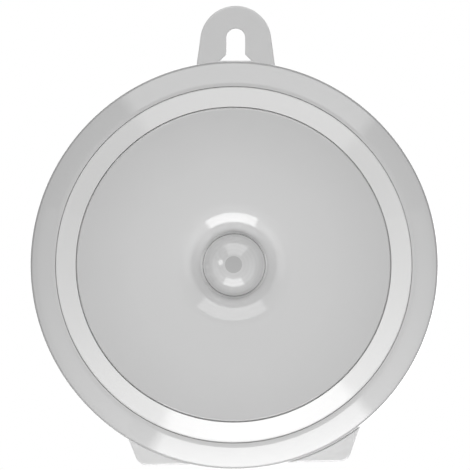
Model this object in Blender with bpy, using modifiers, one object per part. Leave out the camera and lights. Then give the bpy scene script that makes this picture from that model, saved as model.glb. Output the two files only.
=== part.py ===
"""Motion sensor light: a round wall light that runs on cells and hangs on a keyhole tab.

Every piece is modelled in the light's own frame, whose z runs out from the wall and whose y runs up.
The empty "light" stands that frame up, so the wall is the plane Y = 0 and the light looks along -Y.
Lengths are in metres and angles in radians.
"""

import math

import bmesh
import bpy
from mathutils import Matrix, Vector

# running fits
GAP = 0.0003
OVERRUN = 0.002
MERGE = 0.00001

# cells and their bay
CELL_R = 0.00725
CELL_LENGTH = 0.0505
CELL_SIDE_GAP = 0.0001
CELL_NUB_R = 0.00275
CELL_NUB_HEIGHT = 0.0012
CELLS = 3
CELL_SEAT_GAP = 0.00025
CELL_DOOR_GAP = 0.00085
CONTACT_T = 0.0004
CONTACT_WIDTH = 0.010
CONTACT_HEIGHT = 0.011
SPRING_LENGTH = 0.0052
SPRING_BASE_R = 0.0040
SPRING_TIP_R = 0.0025
SPRING_WIRE = 0.0008
SPRING_TURNS = 3.5
TAIL_WIDTH = 0.0020
TAIL_PROUD = 0.0010
TAIL_SHIFT = 0.0040
SLOT_CLEAR = 0.0004
TRAY_WALL = 0.0012
TRAY_FLOOR = 0.0010
TRAY_EDGE_GAP = 0.00035
TRAY_TOP_Y = -0.0038
TRAY_RIB_T = 0.0008
TRAY_RIB_HEIGHT = 0.0030
TRAY_RIB_LENGTH = 0.0400
EAR_LENGTH = 0.0064
EAR_WIDTH = 0.0064
EAR_T = 0.0020
EAR_BOSS_HEIGHT = 0.0040
EAR_BOSS_R = 0.0028

# back shell
PLATE_T = 0.0020
TAB_T = 0.0024
RIM_T = 0.0015
RIM_HEIGHT = 0.0060
BAY_CLEAR = 0.0030
RIM_GAP = 0.0005
PLATE_INSET = 0.0003
TAB_R = 0.0116
TAB_RISE = 0.0075
TAB_TAPER = math.radians(7.9)
SLOT_HALF = 0.00307
SLOT_HEIGHT = 0.0105
SLOT_BASE_GAP = 0.0009
FLARE_HALF = 0.00516
FLARE_HEIGHT = 0.0020
FOOT_LEFT_REACH = 0.0060
FOOT_LEFT_ANGLE = math.radians(26.2)
FOOT_LEFT_SPLAY = math.radians(21.6)
FOOT_RIGHT_REACH = 0.0073
FOOT_RIGHT_ANGLE = math.radians(30.1)
FOOT_RIGHT_SPLAY = math.radians(18.7)
FOOT_CORNER_R = 0.0024
POST_R = 0.0036
POST_INSET = 0.0041
POST_UPPER_ANGLE = math.radians(45)
POST_LOWER_ANGLE = math.radians(-29)

# battery door
DOOR_T = 0.0016
DOOR_INSET = 0.0003
DOOR_TOP_LEDGE = 0.0005
DOOR_LOW_LEDGE = 0.0009
DOOR_SIDE_LEDGE = 0.0005
DOOR_LUG_X = 0.0160
DOOR_LUG_WIDTH = 0.0060
DOOR_LUG_T = 0.0010
DOOR_LUG_REACH = 0.0014
DOOR_LUG_ROOT = 0.0012
LATCH_WIDTH = 0.0120
LATCH_DEPTH = 0.0050
LATCH_SLIT = 0.0010
LATCH_NIB_T = 0.0008
LATCH_NIB_INSET = 0.0003
LATCH_NIB_HEIGHT = 0.0022
GRIP_R = 0.0060
GRIP_SINK = 0.0006
THUMB_R = 0.0060
THUMB_DEPTH = 0.0012

# switch in its pocket
SWITCH_Y = 0.0250
POCKET_WIDTH = 0.0180
POCKET_HEIGHT = 0.0100
POCKET_DEPTH = 0.0028
POCKET_WALL = 0.0012
KNOB_WIDTH = 0.0050
KNOB_HEIGHT = 0.0070
KNOB_INSET = 0.0005
KNOB_TRAVEL = 0.0020
KNOB_GROOVE = 0.0005
STEM_WIDTH = 0.0030
STEM_HEIGHT = 0.0020
STEM_DEPTH = 0.0014
SWITCH_WIDTH = 0.0112
SWITCH_HEIGHT = 0.0056
SWITCH_DEPTH = 0.0050
CLIP_T = 0.0012
CLIP_HEIGHT = 0.0030
LEAD_R = 0.0005
LEAD_PITCH = 0.0030
LEAD_BOW = 0.0012

# housing
HOUSING_WALL = 0.0020
CORNER_R = 0.0022
FLANK_R = 0.0220
FLANK_TOP_TILT = math.radians(22)
FLANK_LOW_TILT = math.radians(40)
SHOULDER_WIDTH = 0.0014
SHOULDER_STEP = 0.0004
LIP_WIDTH = 0.0023
LIP_T = 0.0015

# light ring
RING_WIDTH = 0.0064
RING_TILT = math.radians(28.7)
RING_DROP = 0.0007
RING_WALL = 0.0020
RING_EDGE_T = 0.0016
RING_FOOT = 0.0020
FLANGE_REACH = 0.0013
FLANGE_T = 0.0010

# front cover
FACE_RISE = 0.0126
CROWN_R = 0.2000
CROWN_PLACE = 0.0320
COVER_EDGE_R = 0.0009
COVER_EDGE_T = 0.0004
COVER_WALL = 0.0020
SKIRT_T = 0.0016
SKIRT_HEIGHT = 0.0034
BOSS_R = 0.0030

# sensor lens
LENS_R = 0.0101
LENS_WALL = 0.0007
LENS_FACET_R = 0.00275
LENS_FLANGE_R = 0.0119
LENS_FLANGE_T = 0.0011
LENS_FOOT_R = 0.0007
LENS_FEET = 3

# reflector
REFLECTOR_WALL = 0.0008
REFLECTOR_FLOOR = 0.0010
WINDOW_CLEAR = 0.0003

# board and what is on it
BOARD_T = 0.0016
BOARD_MARGIN = 0.0017
LEDS = 8
LED_LENGTH = 0.0035
LED_WIDTH = 0.0028
LED_HEIGHT = 0.0019
PYRO_R = 0.0041
PYRO_BRIM_R = 0.0046
PYRO_BRIM_T = 0.0005
PYRO_HEIGHT = 0.0042
PYRO_WINDOW_WIDTH = 0.0040
PYRO_WINDOW_HEIGHT = 0.0030
PYRO_WINDOW_T = 0.0006
LIGHT_SENSOR_R = 0.0014
LIGHT_SENSOR_HEIGHT = 0.0020
LIGHT_SENSOR_X = 0.0070
CHIP_LENGTH = 0.0086
CHIP_WIDTH = 0.0052
CHIP_HEIGHT = 0.0016
CHIP_X = -0.0270
CHIP_Y = 0.0100
CAPACITOR_R = 0.00315
CAPACITOR_HEIGHT = 0.0070
CAPACITOR_PITCH = 0.0090
CAPACITOR_X = 0.0270
CAPACITOR_Y = 0.0140
REGULATOR_LENGTH = 0.0045
REGULATOR_WIDTH = 0.0025
REGULATOR_HEIGHT = 0.0015
REGULATOR_X = 0.0
REGULATOR_Y = 0.0340

# screws
SCREW_R = 0.0013
SCREW_HEAD_R = 0.0023
SCREW_HEAD_T = 0.0018
SCREW_SINK = 0.0060
SCREW_REACH = 0.0050
TRAY_SCREW_R = 0.00085
TRAY_SCREW_HEAD_R = 0.0017
TRAY_SCREW_HEAD_T = 0.0013
TRAY_SCREW_TIP = 0.0011
RECESS_WIDTH = 0.0006
RECESS_LENGTH = 0.0022
RECESS_DEPTH = 0.0008

# facets
SEGMENTS = 64
LENS_SEGMENTS = 32
CELL_SEGMENTS = 20
POST_SEGMENTS = 16
SCREW_SEGMENTS = 12
SPRING_POINTS = 9
LEAD_STEPS = 6
CORNER_STEPS = 3
TAB_STEPS = 16
SLOT_STEPS = 8

# depths, counted out from the wall
cell_d = DOOR_INSET + DOOR_T + CELL_DOOR_GAP + CELL_R
tray_floor_d = cell_d + CELL_R + CELL_SEAT_GAP
board_d = tray_floor_d + TRAY_FLOOR + GAP
board_top_d = board_d + BOARD_T
part_d = board_top_d + GAP
peak_d = board_top_d + FACE_RISE
lens_centre_d = part_d + LENS_FLANGE_T
throat_d = lens_centre_d + GAP
ring_top_d = peak_d - RING_DROP
ring_low_d = ring_top_d - RING_WIDTH * math.tan(RING_TILT)
shoulder_d = ring_low_d + SHOULDER_STEP
lip_top_d = ring_low_d - RING_EDGE_T - GAP
lip_low_d = lip_top_d - LIP_T
tray_low_d = PLATE_T + GAP

# the bay, in the plane of the wall
cell_pitch = CELL_R * 2 + CELL_SIDE_GAP
bay_height = CELLS * cell_pitch + TRAY_EDGE_GAP * 2
bay_top_y = TRAY_TOP_Y - TRAY_WALL
bay_low_y = bay_top_y - bay_height
bay_half = (CELL_LENGTH + SPRING_LENGTH + CONTACT_T * 2 + GAP * 5) / 2
tray_half = bay_half + TRAY_WALL
tray_low_y = bay_low_y - TRAY_WALL
cell_x = -bay_half + GAP + CONTACT_T + GAP + SPRING_LENGTH + GAP + CELL_LENGTH / 2
contact_x = bay_half - GAP - CONTACT_T / 2
ear_x = tray_half + EAR_LENGTH / 2
ear_y = (bay_top_y + bay_low_y) / 2 - CELL_R / 2
ear_d = PLATE_T + EAR_BOSS_HEIGHT + GAP

# radii, from the bay's corner out to the side wall and then back in to the lens
rim_in_r = math.hypot(tray_half, tray_low_y) + BAY_CLEAR
rim_out_r = rim_in_r + RIM_T
housing_in_r = rim_out_r + RIM_GAP
body_r = housing_in_r + HOUSING_WALL
plate_r = body_r - PLATE_INSET
corner_x = body_r - CORNER_R
corner_in_r = corner_x + CORNER_R * math.sin(FLANK_LOW_TILT)
flank_x = corner_in_r - FLANK_R * math.sin(FLANK_LOW_TILT)
flank_d = shoulder_d - FLANK_R * math.cos(FLANK_TOP_TILT)
corner_d = flank_d + (FLANK_R - CORNER_R) * math.cos(FLANK_LOW_TILT)
shoulder_r = flank_x + FLANK_R * math.sin(FLANK_TOP_TILT)
step_r = shoulder_r - SHOULDER_WIDTH
lip_r = step_r - LIP_WIDTH
ring_out_r = step_r - GAP
ring_in_r = ring_out_r - RING_WIDTH
cover_r = ring_in_r - GAP
flange_r = ring_in_r - FLANGE_REACH
skirt_r = flange_r - GAP
reflector_out_r = lip_r - GAP
led_r = (reflector_out_r + flange_r) / 2
board_r = reflector_out_r + BOARD_MARGIN
throat_r = LENS_R + GAP
post_circle_r = skirt_r - POST_INSET

# the crown and the bullnose that runs from it into the throat
crown_d = peak_d - CROWN_R
throat_drop = throat_d - crown_d
throat_run = CROWN_PLACE - throat_r
bullnose_r = (CROWN_R ** 2 - throat_drop ** 2 - throat_run ** 2) / (CROWN_R - throat_run) / 2
bullnose_x = throat_r + bullnose_r
inner_tilt = math.asin((CROWN_PLACE - bullnose_x) / (CROWN_R - bullnose_r))
edge_x = cover_r - COVER_EDGE_R
outer_tilt = math.asin((edge_x - CROWN_PLACE) / (CROWN_R - COVER_EDGE_R))
edge_d = crown_d + (CROWN_R - COVER_EDGE_R) * math.cos(outer_tilt)
cover_low_d = edge_d - COVER_EDGE_T
flange_top_d = cover_low_d - GAP
flange_low_d = flange_top_d - FLANGE_T

# the screws that hold the casing
post_top_d = tray_floor_d + TRAY_FLOOR
screw_hole_r = SCREW_R + GAP
head_hole_r = SCREW_HEAD_R + GAP
screw_seat_d = SCREW_SINK + SCREW_HEAD_T + GAP
screw_tip_d = part_d + SCREW_REACH

# the switch, from the wall inwards
pocket_top_d = POCKET_DEPTH + POCKET_WALL
switch_d = pocket_top_d + GAP
switch_top_d = switch_d + SWITCH_DEPTH
slot_half = STEM_WIDTH / 2 + KNOB_TRAVEL + GAP
stem_top_d = switch_d + STEM_DEPTH

# the battery door in its opening, with lugs that turn about the door's top edge
opening_top_y = bay_top_y - DOOR_TOP_LEDGE
opening_low_y = bay_low_y + DOOR_LOW_LEDGE
opening_half = bay_half + DOOR_SIDE_LEDGE
door_top_y = opening_top_y - GAP
door_low_y = opening_low_y + GAP
door_half = opening_half - GAP
door_in_d = DOOR_INSET + DOOR_T
lug_low_d = PLATE_T + GAP
lug_top_d = lug_low_d + DOOR_LUG_T
lug_tip_y = opening_top_y + DOOR_LUG_REACH
lug_swing_d = DOOR_INSET + math.hypot(lug_tip_y - door_top_y, lug_top_d - DOOR_INSET)

tab_y = plate_r + TAB_RISE
tray_head_d = ear_d + EAR_T + GAP + TRAY_SCREW_HEAD_T


def on_circle(radius, angle):
    return radius * math.cos(angle), radius * math.sin(angle)


def cell_y(index):
    """The height of a cell's axis, counted down from the top of the bay."""
    return bay_top_y - TRAY_EDGE_GAP - cell_pitch * (index + 1 / 2)


post_angles = (POST_UPPER_ANGLE, math.pi - POST_UPPER_ANGLE, math.pi - POST_LOWER_ANGLE, POST_LOWER_ANGLE)
post_places = [on_circle(post_circle_r, angle) for angle in post_angles]
lens_foot_r = (LENS_R - LENS_WALL + LENS_FLANGE_R) / 2
lens_foot_places = [on_circle(lens_foot_r, math.tau * (i / LENS_FEET + 1 / 4)) for i in range(LENS_FEET)]
tail_places = [(contact_x, cell_y(0) + TAIL_SHIFT), (-contact_x, cell_y(CELLS - 1) + TAIL_SHIFT)]
led_angles = [math.tau * (i + 1 / 2) / LEDS for i in range(LEDS)]

# stands a sheet up across the cells, its first two directions running up and out from the wall
SIDEWAYS = Matrix(((0, 0, 1), (1, 0, 0), (0, 1, 0))).to_4x4()

HOUSE_WHITE = (0.60, 0.60, 0.60)
BACK_WHITE = (0.57, 0.57, 0.57)
OPAL = (0.80, 0.80, 0.79)
LENS_WHITE = (0.55, 0.55, 0.55)
MIRROR_WHITE = (0.85, 0.85, 0.85)
BOARD_GREEN = (0.02, 0.12, 0.05)
LED_YELLOW = (0.75, 0.62, 0.15)
STEEL = (0.52, 0.52, 0.53)
NICKEL = (0.62, 0.60, 0.56)
BLACK = (0.02, 0.02, 0.02)
DARK_GLASS = (0.03, 0.03, 0.04)
TRAY_GREY = (0.10, 0.10, 0.11)
CELL_BLUE = (0.03, 0.07, 0.20)
LEAD_RED = (0.45, 0.02, 0.02)


def clear_scene():
    for obj in list(bpy.data.objects):
        bpy.data.objects.remove(obj)


def collection(name):
    group = bpy.data.collections.new(name)
    bpy.context.scene.collection.children.link(group)
    return group


def material(name, colour, roughness, metallic=0.0):
    mat = bpy.data.materials.new(name)
    mat.use_nodes = True
    shader = mat.node_tree.nodes["Principled BSDF"]
    shader.inputs["Base Color"].default_value = (*colour, 1.0)
    shader.inputs["Roughness"].default_value = roughness
    shader.inputs["Metallic"].default_value = metallic
    mat.diffuse_color = (*colour, 1.0)
    return mat


clear_scene()
parts = collection("motion sensor light")
cutters = collection("cutters")
light = bpy.data.objects.new("light", None)
light.rotation_euler.x = math.radians(90)
parts.objects.link(light)

MATERIALS = {
    "housing_plastic": material("housing_plastic", HOUSE_WHITE, 0.22),
    "back_plastic": material("back_plastic", BACK_WHITE, 0.35),
    "opal": material("opal", OPAL, 0.30),
    "lens_plastic": material("lens_plastic", LENS_WHITE, 0.30),
    "reflector_white": material("reflector_white", MIRROR_WHITE, 0.30),
    "board": material("board", BOARD_GREEN, 0.40),
    "led": material("led", LED_YELLOW, 0.35),
    "steel": material("steel", STEEL, 0.30, 1.0),
    "nickel": material("nickel", NICKEL, 0.28, 1.0),
    "black_plastic": material("black_plastic", BLACK, 0.40),
    "filter_glass": material("filter_glass", DARK_GLASS, 0.08),
    "tray_plastic": material("tray_plastic", TRAY_GREY, 0.45),
    "cell_wrap": material("cell_wrap", CELL_BLUE, 0.30),
    "lead_red": material("lead_red", LEAD_RED, 0.40),
}


def place(name, mesh, slot=None, pivot=(0, 0, 0)):
    """Add a mesh, drawn in the light's frame, as a part of that name, or as a cutter if it has no slot.

    The pivot becomes the object's origin, so that a moving piece turns or slides about it."""
    obj = bpy.data.objects.new(name, mesh)
    mesh.transform(Matrix.Translation(-Vector(pivot)))
    obj.location = pivot
    obj.parent = light
    if slot:
        mesh.materials.append(MATERIALS[slot])
        parts.objects.link(obj)
    else:
        obj.hide_render = True
        obj.display_type = "WIRE"
        cutters.objects.link(obj)
    return obj


def mesh_of(name, build):
    """Run build on a new bmesh and keep the result as a mesh."""
    bm = bmesh.new()
    build(bm)
    mesh = bpy.data.meshes.new(name)
    bm.to_mesh(mesh)
    bm.free()
    return mesh


def box(name, low, high, slot=None, pivot=(0, 0, 0)):
    low, high = Vector(low), Vector(high)
    where = Matrix.Translation((low + high) / 2) @ Matrix.Diagonal((*(high - low), 1))
    mesh = mesh_of(name, lambda bm: bmesh.ops.create_cube(bm, size=1, matrix=where))
    return place(name, mesh, slot, pivot)


def block(name, x, y, half_x, half_y, low_d, high_d, slot=None, pivot=(0, 0, 0)):
    """A box by its middle in the wall's plane, its half sizes and its two depths."""
    return box(name, (x - half_x, y - half_y, low_d), (x + half_x, y + half_y, high_d), slot, pivot)


def rod(name, x, y, radius, low_d, high_d, slot=None, segments=POST_SEGMENTS):
    """A cylinder that stands out from the wall."""
    where = Matrix.Translation((x, y, (low_d + high_d) / 2))

    def build(bm):
        bmesh.ops.create_cone(bm, cap_ends=True, segments=segments, radius1=radius, radius2=radius,
                              depth=high_d - low_d, matrix=where)

    mesh = mesh_of(name, build)
    mesh.shade_smooth()
    mesh.set_sharp_from_angle(angle=math.radians(40))
    return place(name, mesh, slot)


def turned(name, profile, slot, closed=True, segments=SEGMENTS):
    """Turn a profile of (radius, depth) points, which runs down its outer side, about the light's axis."""
    def build(bm):
        verts = [bm.verts.new((r, 0, d)) for r, d in profile]
        for a, b in zip(verts, verts[1:]):
            bm.edges.new((a, b))
        if closed:
            bm.edges.new((verts[-1], verts[0]))

    obj = place(name, mesh_of(name, build), slot)
    turn = obj.modifiers.new("turn", "SCREW")
    turn.angle = math.tau
    turn.steps = segments
    turn.render_steps = segments
    turn.use_merge_vertices = True
    turn.merge_threshold = MERGE
    return obj


def arc(x, d, radius, start, end, steps):
    """Points of an arc whose angles are tilts away from the depth axis."""
    tilts = [start + (end - start) * i / steps for i in range(steps + 1)]
    return [(x + radius * math.sin(t), d + radius * math.cos(t)) for t in tilts]


def cut(obj, cutter):
    boolean = obj.modifiers.new(cutter.name, "BOOLEAN")
    boolean.operation = "DIFFERENCE"
    boolean.object = cutter


def join(obj, other):
    boolean = obj.modifiers.new(other.name, "BOOLEAN")
    boolean.operation = "UNION"
    boolean.object = other


def as_mesh(source, where):
    """Swap an object for the mesh that it makes, with its caps welded, moved by a matrix."""
    bpy.context.view_layer.update()
    depsgraph = bpy.context.evaluated_depsgraph_get()
    mesh = bpy.data.meshes.new_from_object(source.evaluated_get(depsgraph))
    bm = bmesh.new()
    bm.from_mesh(mesh)
    bmesh.ops.transform(bm, matrix=where, verts=bm.verts)
    bmesh.ops.remove_doubles(bm, verts=bm.verts, dist=MERGE)
    bmesh.ops.recalc_face_normals(bm, faces=bm.faces)
    bm.to_mesh(mesh)
    bm.free()
    bpy.data.objects.remove(source)
    return mesh


def sheet(name, outline, low, high, slot=None, stand=Matrix()):
    """A flat outline between two depths, drawn in the wall's plane unless a matrix stands it up."""
    curve = bpy.data.curves.new(name, "CURVE")
    curve.dimensions = "2D"
    curve.fill_mode = "BOTH"
    curve.extrude = (high - low) / 2
    spline = curve.splines.new("POLY")
    spline.points.add(len(outline) - 1)
    for point, (x, y) in zip(spline.points, outline):
        point.co = (x, y, 0, 1)
    spline.use_cyclic_u = True
    obj = bpy.data.objects.new(name, curve)
    obj.matrix_world = stand @ Matrix.Translation((0, 0, (high + low) / 2))
    parts.objects.link(obj)
    return place(name, as_mesh(obj, obj.matrix_world.copy()), slot)


def tube(name, route, radius, resolution, slot):
    """A round wire along its route."""
    curve = bpy.data.curves.new(name, "CURVE")
    curve.dimensions = "3D"
    curve.bevel_depth = radius
    curve.bevel_resolution = resolution
    curve.use_fill_caps = True
    spline = curve.splines.new("POLY")
    spline.points.add(len(route) - 1)
    for point, place_on_route in zip(spline.points, route):
        point.co = (*place_on_route, 1)
    obj = bpy.data.objects.new(name, curve)
    parts.objects.link(obj)
    mesh = as_mesh(obj, obj.matrix_world.copy())
    mesh.shade_smooth()
    return place(name, mesh, slot)


def self_gap(points, wire, skip):
    """The least space that a wire leaves to itself, past the points that follow each other in one curl."""
    places = [Vector(p) for p in points]
    far = [(a - b).length for i, a in enumerate(places) for b in places[i + skip:]]
    return min(far) - wire


def near_circle(start, direction, radius):
    """Where a straight line from outside first meets a circle about the origin."""
    x, y = start
    u, v = direction
    along = x * u + y * v
    run = -along - math.sqrt(along ** 2 - x ** 2 - y ** 2 + radius ** 2)
    return x + run * u, y + run * v


def spread(start, end, steps):
    return [start + (end - start) * i / steps for i in range(steps + 1)]


def fillet(corner, before, after, radius, steps):
    """Round a corner between the points before and after it."""
    corner, before, after = Vector(corner), Vector(before), Vector(after)
    into, out = (before - corner).normalized(), (after - corner).normalized()
    half = into.angle(out) / 2
    centre = corner + (into + out).normalized() * radius / math.sin(half)
    first = corner + into * radius / math.tan(half) - centre
    last = corner + out * radius / math.tan(half) - centre
    return [tuple(centre + first.slerp(last, i / steps).normalized() * radius) for i in range(steps + 1)]


def rim_points(start, end):
    """Points of the plate's own edge between two places on it, anticlockwise."""
    first = math.atan2(start[1], start[0])
    turn = (math.atan2(end[1], end[0]) - first) % math.tau
    steps = max(1, round(SEGMENTS * turn / math.tau))
    return [on_circle(plate_r, angle) for angle in spread(first, first + turn, steps)]


def plate_outline():
    """The round plate with the hang tab above it and the foot below, anticlockwise from the foot."""
    side = (math.sin(TAB_TAPER), -math.cos(TAB_TAPER))
    tangent = (TAB_R * math.cos(TAB_TAPER), tab_y + TAB_R * math.sin(TAB_TAPER))
    tab_root = near_circle(tangent, side, plate_r)
    down = math.radians(-90)
    left = on_circle(plate_r + FOOT_LEFT_REACH, down - FOOT_LEFT_ANGLE)
    right = on_circle(plate_r + FOOT_RIGHT_REACH, down + FOOT_RIGHT_ANGLE)
    left_root = near_circle(left, (-math.sin(FOOT_LEFT_SPLAY), math.cos(FOOT_LEFT_SPLAY)), plate_r)
    right_root = near_circle(right, (math.sin(FOOT_RIGHT_SPLAY), math.cos(FOOT_RIGHT_SPLAY)), plate_r)
    points = fillet(right, left, right_root, FOOT_CORNER_R, CORNER_STEPS)
    points += rim_points(right_root, tab_root)
    for angle in spread(TAB_TAPER, math.pi - TAB_TAPER, TAB_STEPS):
        x, y = on_circle(TAB_R, angle)
        points.append((x, tab_y + y))
    points += rim_points((-tab_root[0], tab_root[1]), left_root)
    points += fillet(left, left_root, right, FOOT_CORNER_R, CORNER_STEPS)
    return points


def keyhole_outline():
    """The slot in the tab: a round head, straight sides and a flared foot."""
    base_y = body_r + SLOT_BASE_GAP
    arch_y = base_y + SLOT_HEIGHT - SLOT_HALF
    points = [(FLARE_HALF, base_y), (SLOT_HALF, base_y + FLARE_HEIGHT)]
    for angle in spread(0, math.pi, SLOT_STEPS):
        x, y = on_circle(SLOT_HALF, angle)
        points.append((x, arch_y + y))
    points += [(-SLOT_HALF, base_y + FLARE_HEIGHT), (-FLARE_HALF, base_y)]
    return points


def make_back_shell():
    shell = sheet("back_shell", plate_outline(), 0, TAB_T, "back_plastic")
    seat = rod("housing_seat", 0, 0, body_r + GAP, PLATE_T, TAB_T + OVERRUN, segments=SEGMENTS)
    cut(shell, seat)
    cut(shell, sheet("keyhole", keyhole_outline(), -OVERRUN, TAB_T + OVERRUN))
    root_d = PLATE_T / 2
    rim_top_d = PLATE_T + RIM_HEIGHT
    rim = [(rim_out_r, rim_top_d), (rim_out_r, root_d), (rim_in_r, root_d), (rim_in_r, rim_top_d)]
    join(shell, turned("rim", rim, None))
    pocket_x, pocket_y = POCKET_WIDTH / 2, POCKET_HEIGHT / 2
    join(shell, block("pocket_walls", 0, SWITCH_Y, pocket_x + POCKET_WALL, pocket_y + POCKET_WALL,
                      root_d, pocket_top_d))
    cut(shell, block("pocket", 0, SWITCH_Y, pocket_x, pocket_y, -OVERRUN, POCKET_DEPTH))
    cut(shell, block("stem_slot", 0, SWITCH_Y, slot_half, STEM_HEIGHT / 2 + GAP, -OVERRUN, switch_d))
    for side in (-1, 1):
        clip_x = side * (SWITCH_WIDTH / 2 + GAP + CLIP_T / 2)
        join(shell, block("switch_clip", clip_x, SWITCH_Y, CLIP_T / 2, SWITCH_HEIGHT / 2,
                          pocket_top_d - POCKET_WALL / 2, pocket_top_d + CLIP_HEIGHT))
        join(shell, rod("tray_boss", side * ear_x, ear_y, EAR_BOSS_R, root_d, PLATE_T + EAR_BOSS_HEIGHT))
        cut(shell, rod("tray_boss_hole", side * ear_x, ear_y, TRAY_SCREW_R + GAP,
                       TRAY_SCREW_TIP - GAP, ear_d + OVERRUN))
    for x, y in post_places:
        join(shell, rod("post", x, y, POST_R, root_d, post_top_d))
        cut(shell, rod("head_hole", x, y, head_hole_r, -OVERRUN, screw_seat_d))
        cut(shell, rod("shank_hole", x, y, screw_hole_r, -OVERRUN, post_top_d + OVERRUN))
    cut(shell, block("door_opening", 0, (opening_top_y + opening_low_y) / 2, opening_half,
                     (opening_top_y - opening_low_y) / 2, -OVERRUN, PLATE_T + OVERRUN))
    cut(shell, rod("thumb_recess", 0, opening_low_y, THUMB_R, -OVERRUN, THUMB_DEPTH))


def make_housing():
    upright = math.radians(90)
    under_r = step_r + HOUSING_WALL
    under_tilt = math.asin((under_r - flank_x) / (FLANK_R - HOUSING_WALL))
    profile = [(step_r, shoulder_d)]
    profile += arc(flank_x, flank_d, FLANK_R, FLANK_TOP_TILT, FLANK_LOW_TILT, 3)
    profile += arc(corner_x, corner_d, CORNER_R, FLANK_LOW_TILT, upright, 2)[1:]
    profile += [(body_r, tray_low_d), (housing_in_r, tray_low_d)]
    profile += arc(flank_x, flank_d, FLANK_R - HOUSING_WALL, FLANK_LOW_TILT, under_tilt, 2)
    profile += [(under_r, lip_low_d), (lip_r, lip_low_d), (lip_r, lip_top_d), (step_r, lip_top_d)]
    turned("housing", profile, "housing_plastic")


def make_light_ring():
    foot_r = ring_out_r - RING_FOOT
    slope = math.tan(RING_TILT)
    under_d = ring_top_d - RING_WALL
    profile = [(ring_in_r, ring_top_d), (ring_out_r, ring_low_d), (ring_out_r, lip_top_d + GAP)]
    profile += [(foot_r, lip_top_d + GAP), (foot_r, under_d - (foot_r - ring_in_r) * slope)]
    profile += [(ring_in_r + (under_d - flange_low_d) / slope, flange_low_d), (flange_r, flange_low_d)]
    profile += [(flange_r, flange_top_d), (ring_in_r, flange_top_d)]
    turned("light_ring", profile, "opal")


def make_front_cover():
    """A crowned ring that rolls over at its rim and dips through a bullnose into the lens's throat."""
    upright = math.radians(90)
    skirt_in_r = skirt_r - SKIRT_T
    skirt_low_d = cover_low_d - SKIRT_HEIGHT
    under_r = CROWN_R - COVER_WALL
    skirt_tilt = math.asin((skirt_in_r - CROWN_PLACE) / under_r)
    profile = arc(CROWN_PLACE, crown_d, CROWN_R, 0, outer_tilt, 3)
    profile += arc(edge_x, edge_d, COVER_EDGE_R, outer_tilt, upright, 2)[1:]
    profile += [(cover_r, cover_low_d), (skirt_r, cover_low_d)]
    profile += [(skirt_r, skirt_low_d), (skirt_in_r, skirt_low_d)]
    profile += arc(CROWN_PLACE, crown_d, under_r, skirt_tilt, -inner_tilt, 3)
    profile += arc(bullnose_x, throat_d, bullnose_r - COVER_WALL, -inner_tilt, -upright, 4)[1:]
    profile += arc(bullnose_x, throat_d, bullnose_r, -upright, -inner_tilt, 7)
    cover = turned("front_cover", profile, "housing_plastic")
    for x, y in post_places:
        join(cover, rod("cover_boss", x, y, BOSS_R, part_d, peak_d - COVER_WALL))
        cut(cover, rod("boss_hole", x, y, screw_hole_r, part_d - OVERRUN, screw_tip_d + GAP))


def make_lens():
    """A dome with a flat facet in the middle, hollow and open at the back, on a flange with three feet."""
    upright = math.radians(90)
    inner_r = LENS_R - LENS_WALL
    facet_tilt = math.asin(LENS_FACET_R / LENS_R)
    facet_d = lens_centre_d + LENS_R * math.cos(facet_tilt)
    inner_tilt_end = math.acos((facet_d - LENS_WALL - lens_centre_d) / inner_r)
    profile = [(0, facet_d)]
    profile += arc(0, lens_centre_d, LENS_R, facet_tilt, upright, 8)
    profile += [(LENS_FLANGE_R, lens_centre_d), (LENS_FLANGE_R, part_d), (inner_r, part_d)]
    profile += arc(0, lens_centre_d, inner_r, upright, inner_tilt_end, 5)
    profile += [(0, facet_d - LENS_WALL)]
    lens = turned("pir_lens", profile, "lens_plastic", closed=False, segments=LENS_SEGMENTS)
    for x, y in lens_foot_places:
        join(lens, rod("lens_foot", x, y, LENS_FOOT_R, board_d + GAP, part_d + LENS_FLANGE_T / 2,
                       segments=SCREW_SEGMENTS))


def make_reflector():
    """A trough under the light ring, with a window in its floor for each LED."""
    outer_top_d = lip_top_d + GAP
    outer_in_r = reflector_out_r - REFLECTOR_WALL
    inner_out_r = flange_r + REFLECTOR_WALL
    inner_top_d = flange_low_d - GAP
    floor_d = part_d + REFLECTOR_FLOOR
    profile = [(reflector_out_r, outer_top_d), (reflector_out_r, part_d), (flange_r, part_d)]
    profile += [(flange_r, inner_top_d), (inner_out_r, inner_top_d), (inner_out_r, floor_d)]
    profile += [(outer_in_r, floor_d), (outer_in_r, outer_top_d)]
    reflector = turned("reflector", profile, "reflector_white")
    for angle in led_angles:
        window = block("led_window", led_r, 0, LED_WIDTH / 2 + WINDOW_CLEAR, LED_LENGTH / 2 + WINDOW_CLEAR,
                       part_d - OVERRUN, floor_d + OVERRUN / 2)
        window.rotation_euler.z = angle
        cut(reflector, window)


def tail_slot(name, x, y, low_d, high_d):
    """A cutter for the slot that a contact's tail passes through."""
    return block(name, x, y, CONTACT_T / 2 + SLOT_CLEAR, TAIL_WIDTH / 2 + SLOT_CLEAR, low_d, high_d)


def make_board():
    board = rod("main_board", 0, 0, board_r, board_d, board_top_d, "board", SEGMENTS)
    low, high = board_d - OVERRUN, board_top_d + OVERRUN
    for x, y in post_places:
        cut(board, rod("board_hole", x, y, screw_hole_r, low, high))
    for x, y in lens_foot_places:
        cut(board, rod("foot_hole", x, y, LENS_FOOT_R + GAP, low, high, segments=SCREW_SEGMENTS))
    for x, y in tail_places:
        cut(board, tail_slot("board_slot", x, y, low, high))


def make_leds():
    for i, angle in enumerate(led_angles, start=1):
        led = block(f"led_{i}", led_r, 0, LED_WIDTH / 2, LED_LENGTH / 2, part_d, part_d + LED_HEIGHT, "led")
        led.rotation_euler.z = angle


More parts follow.
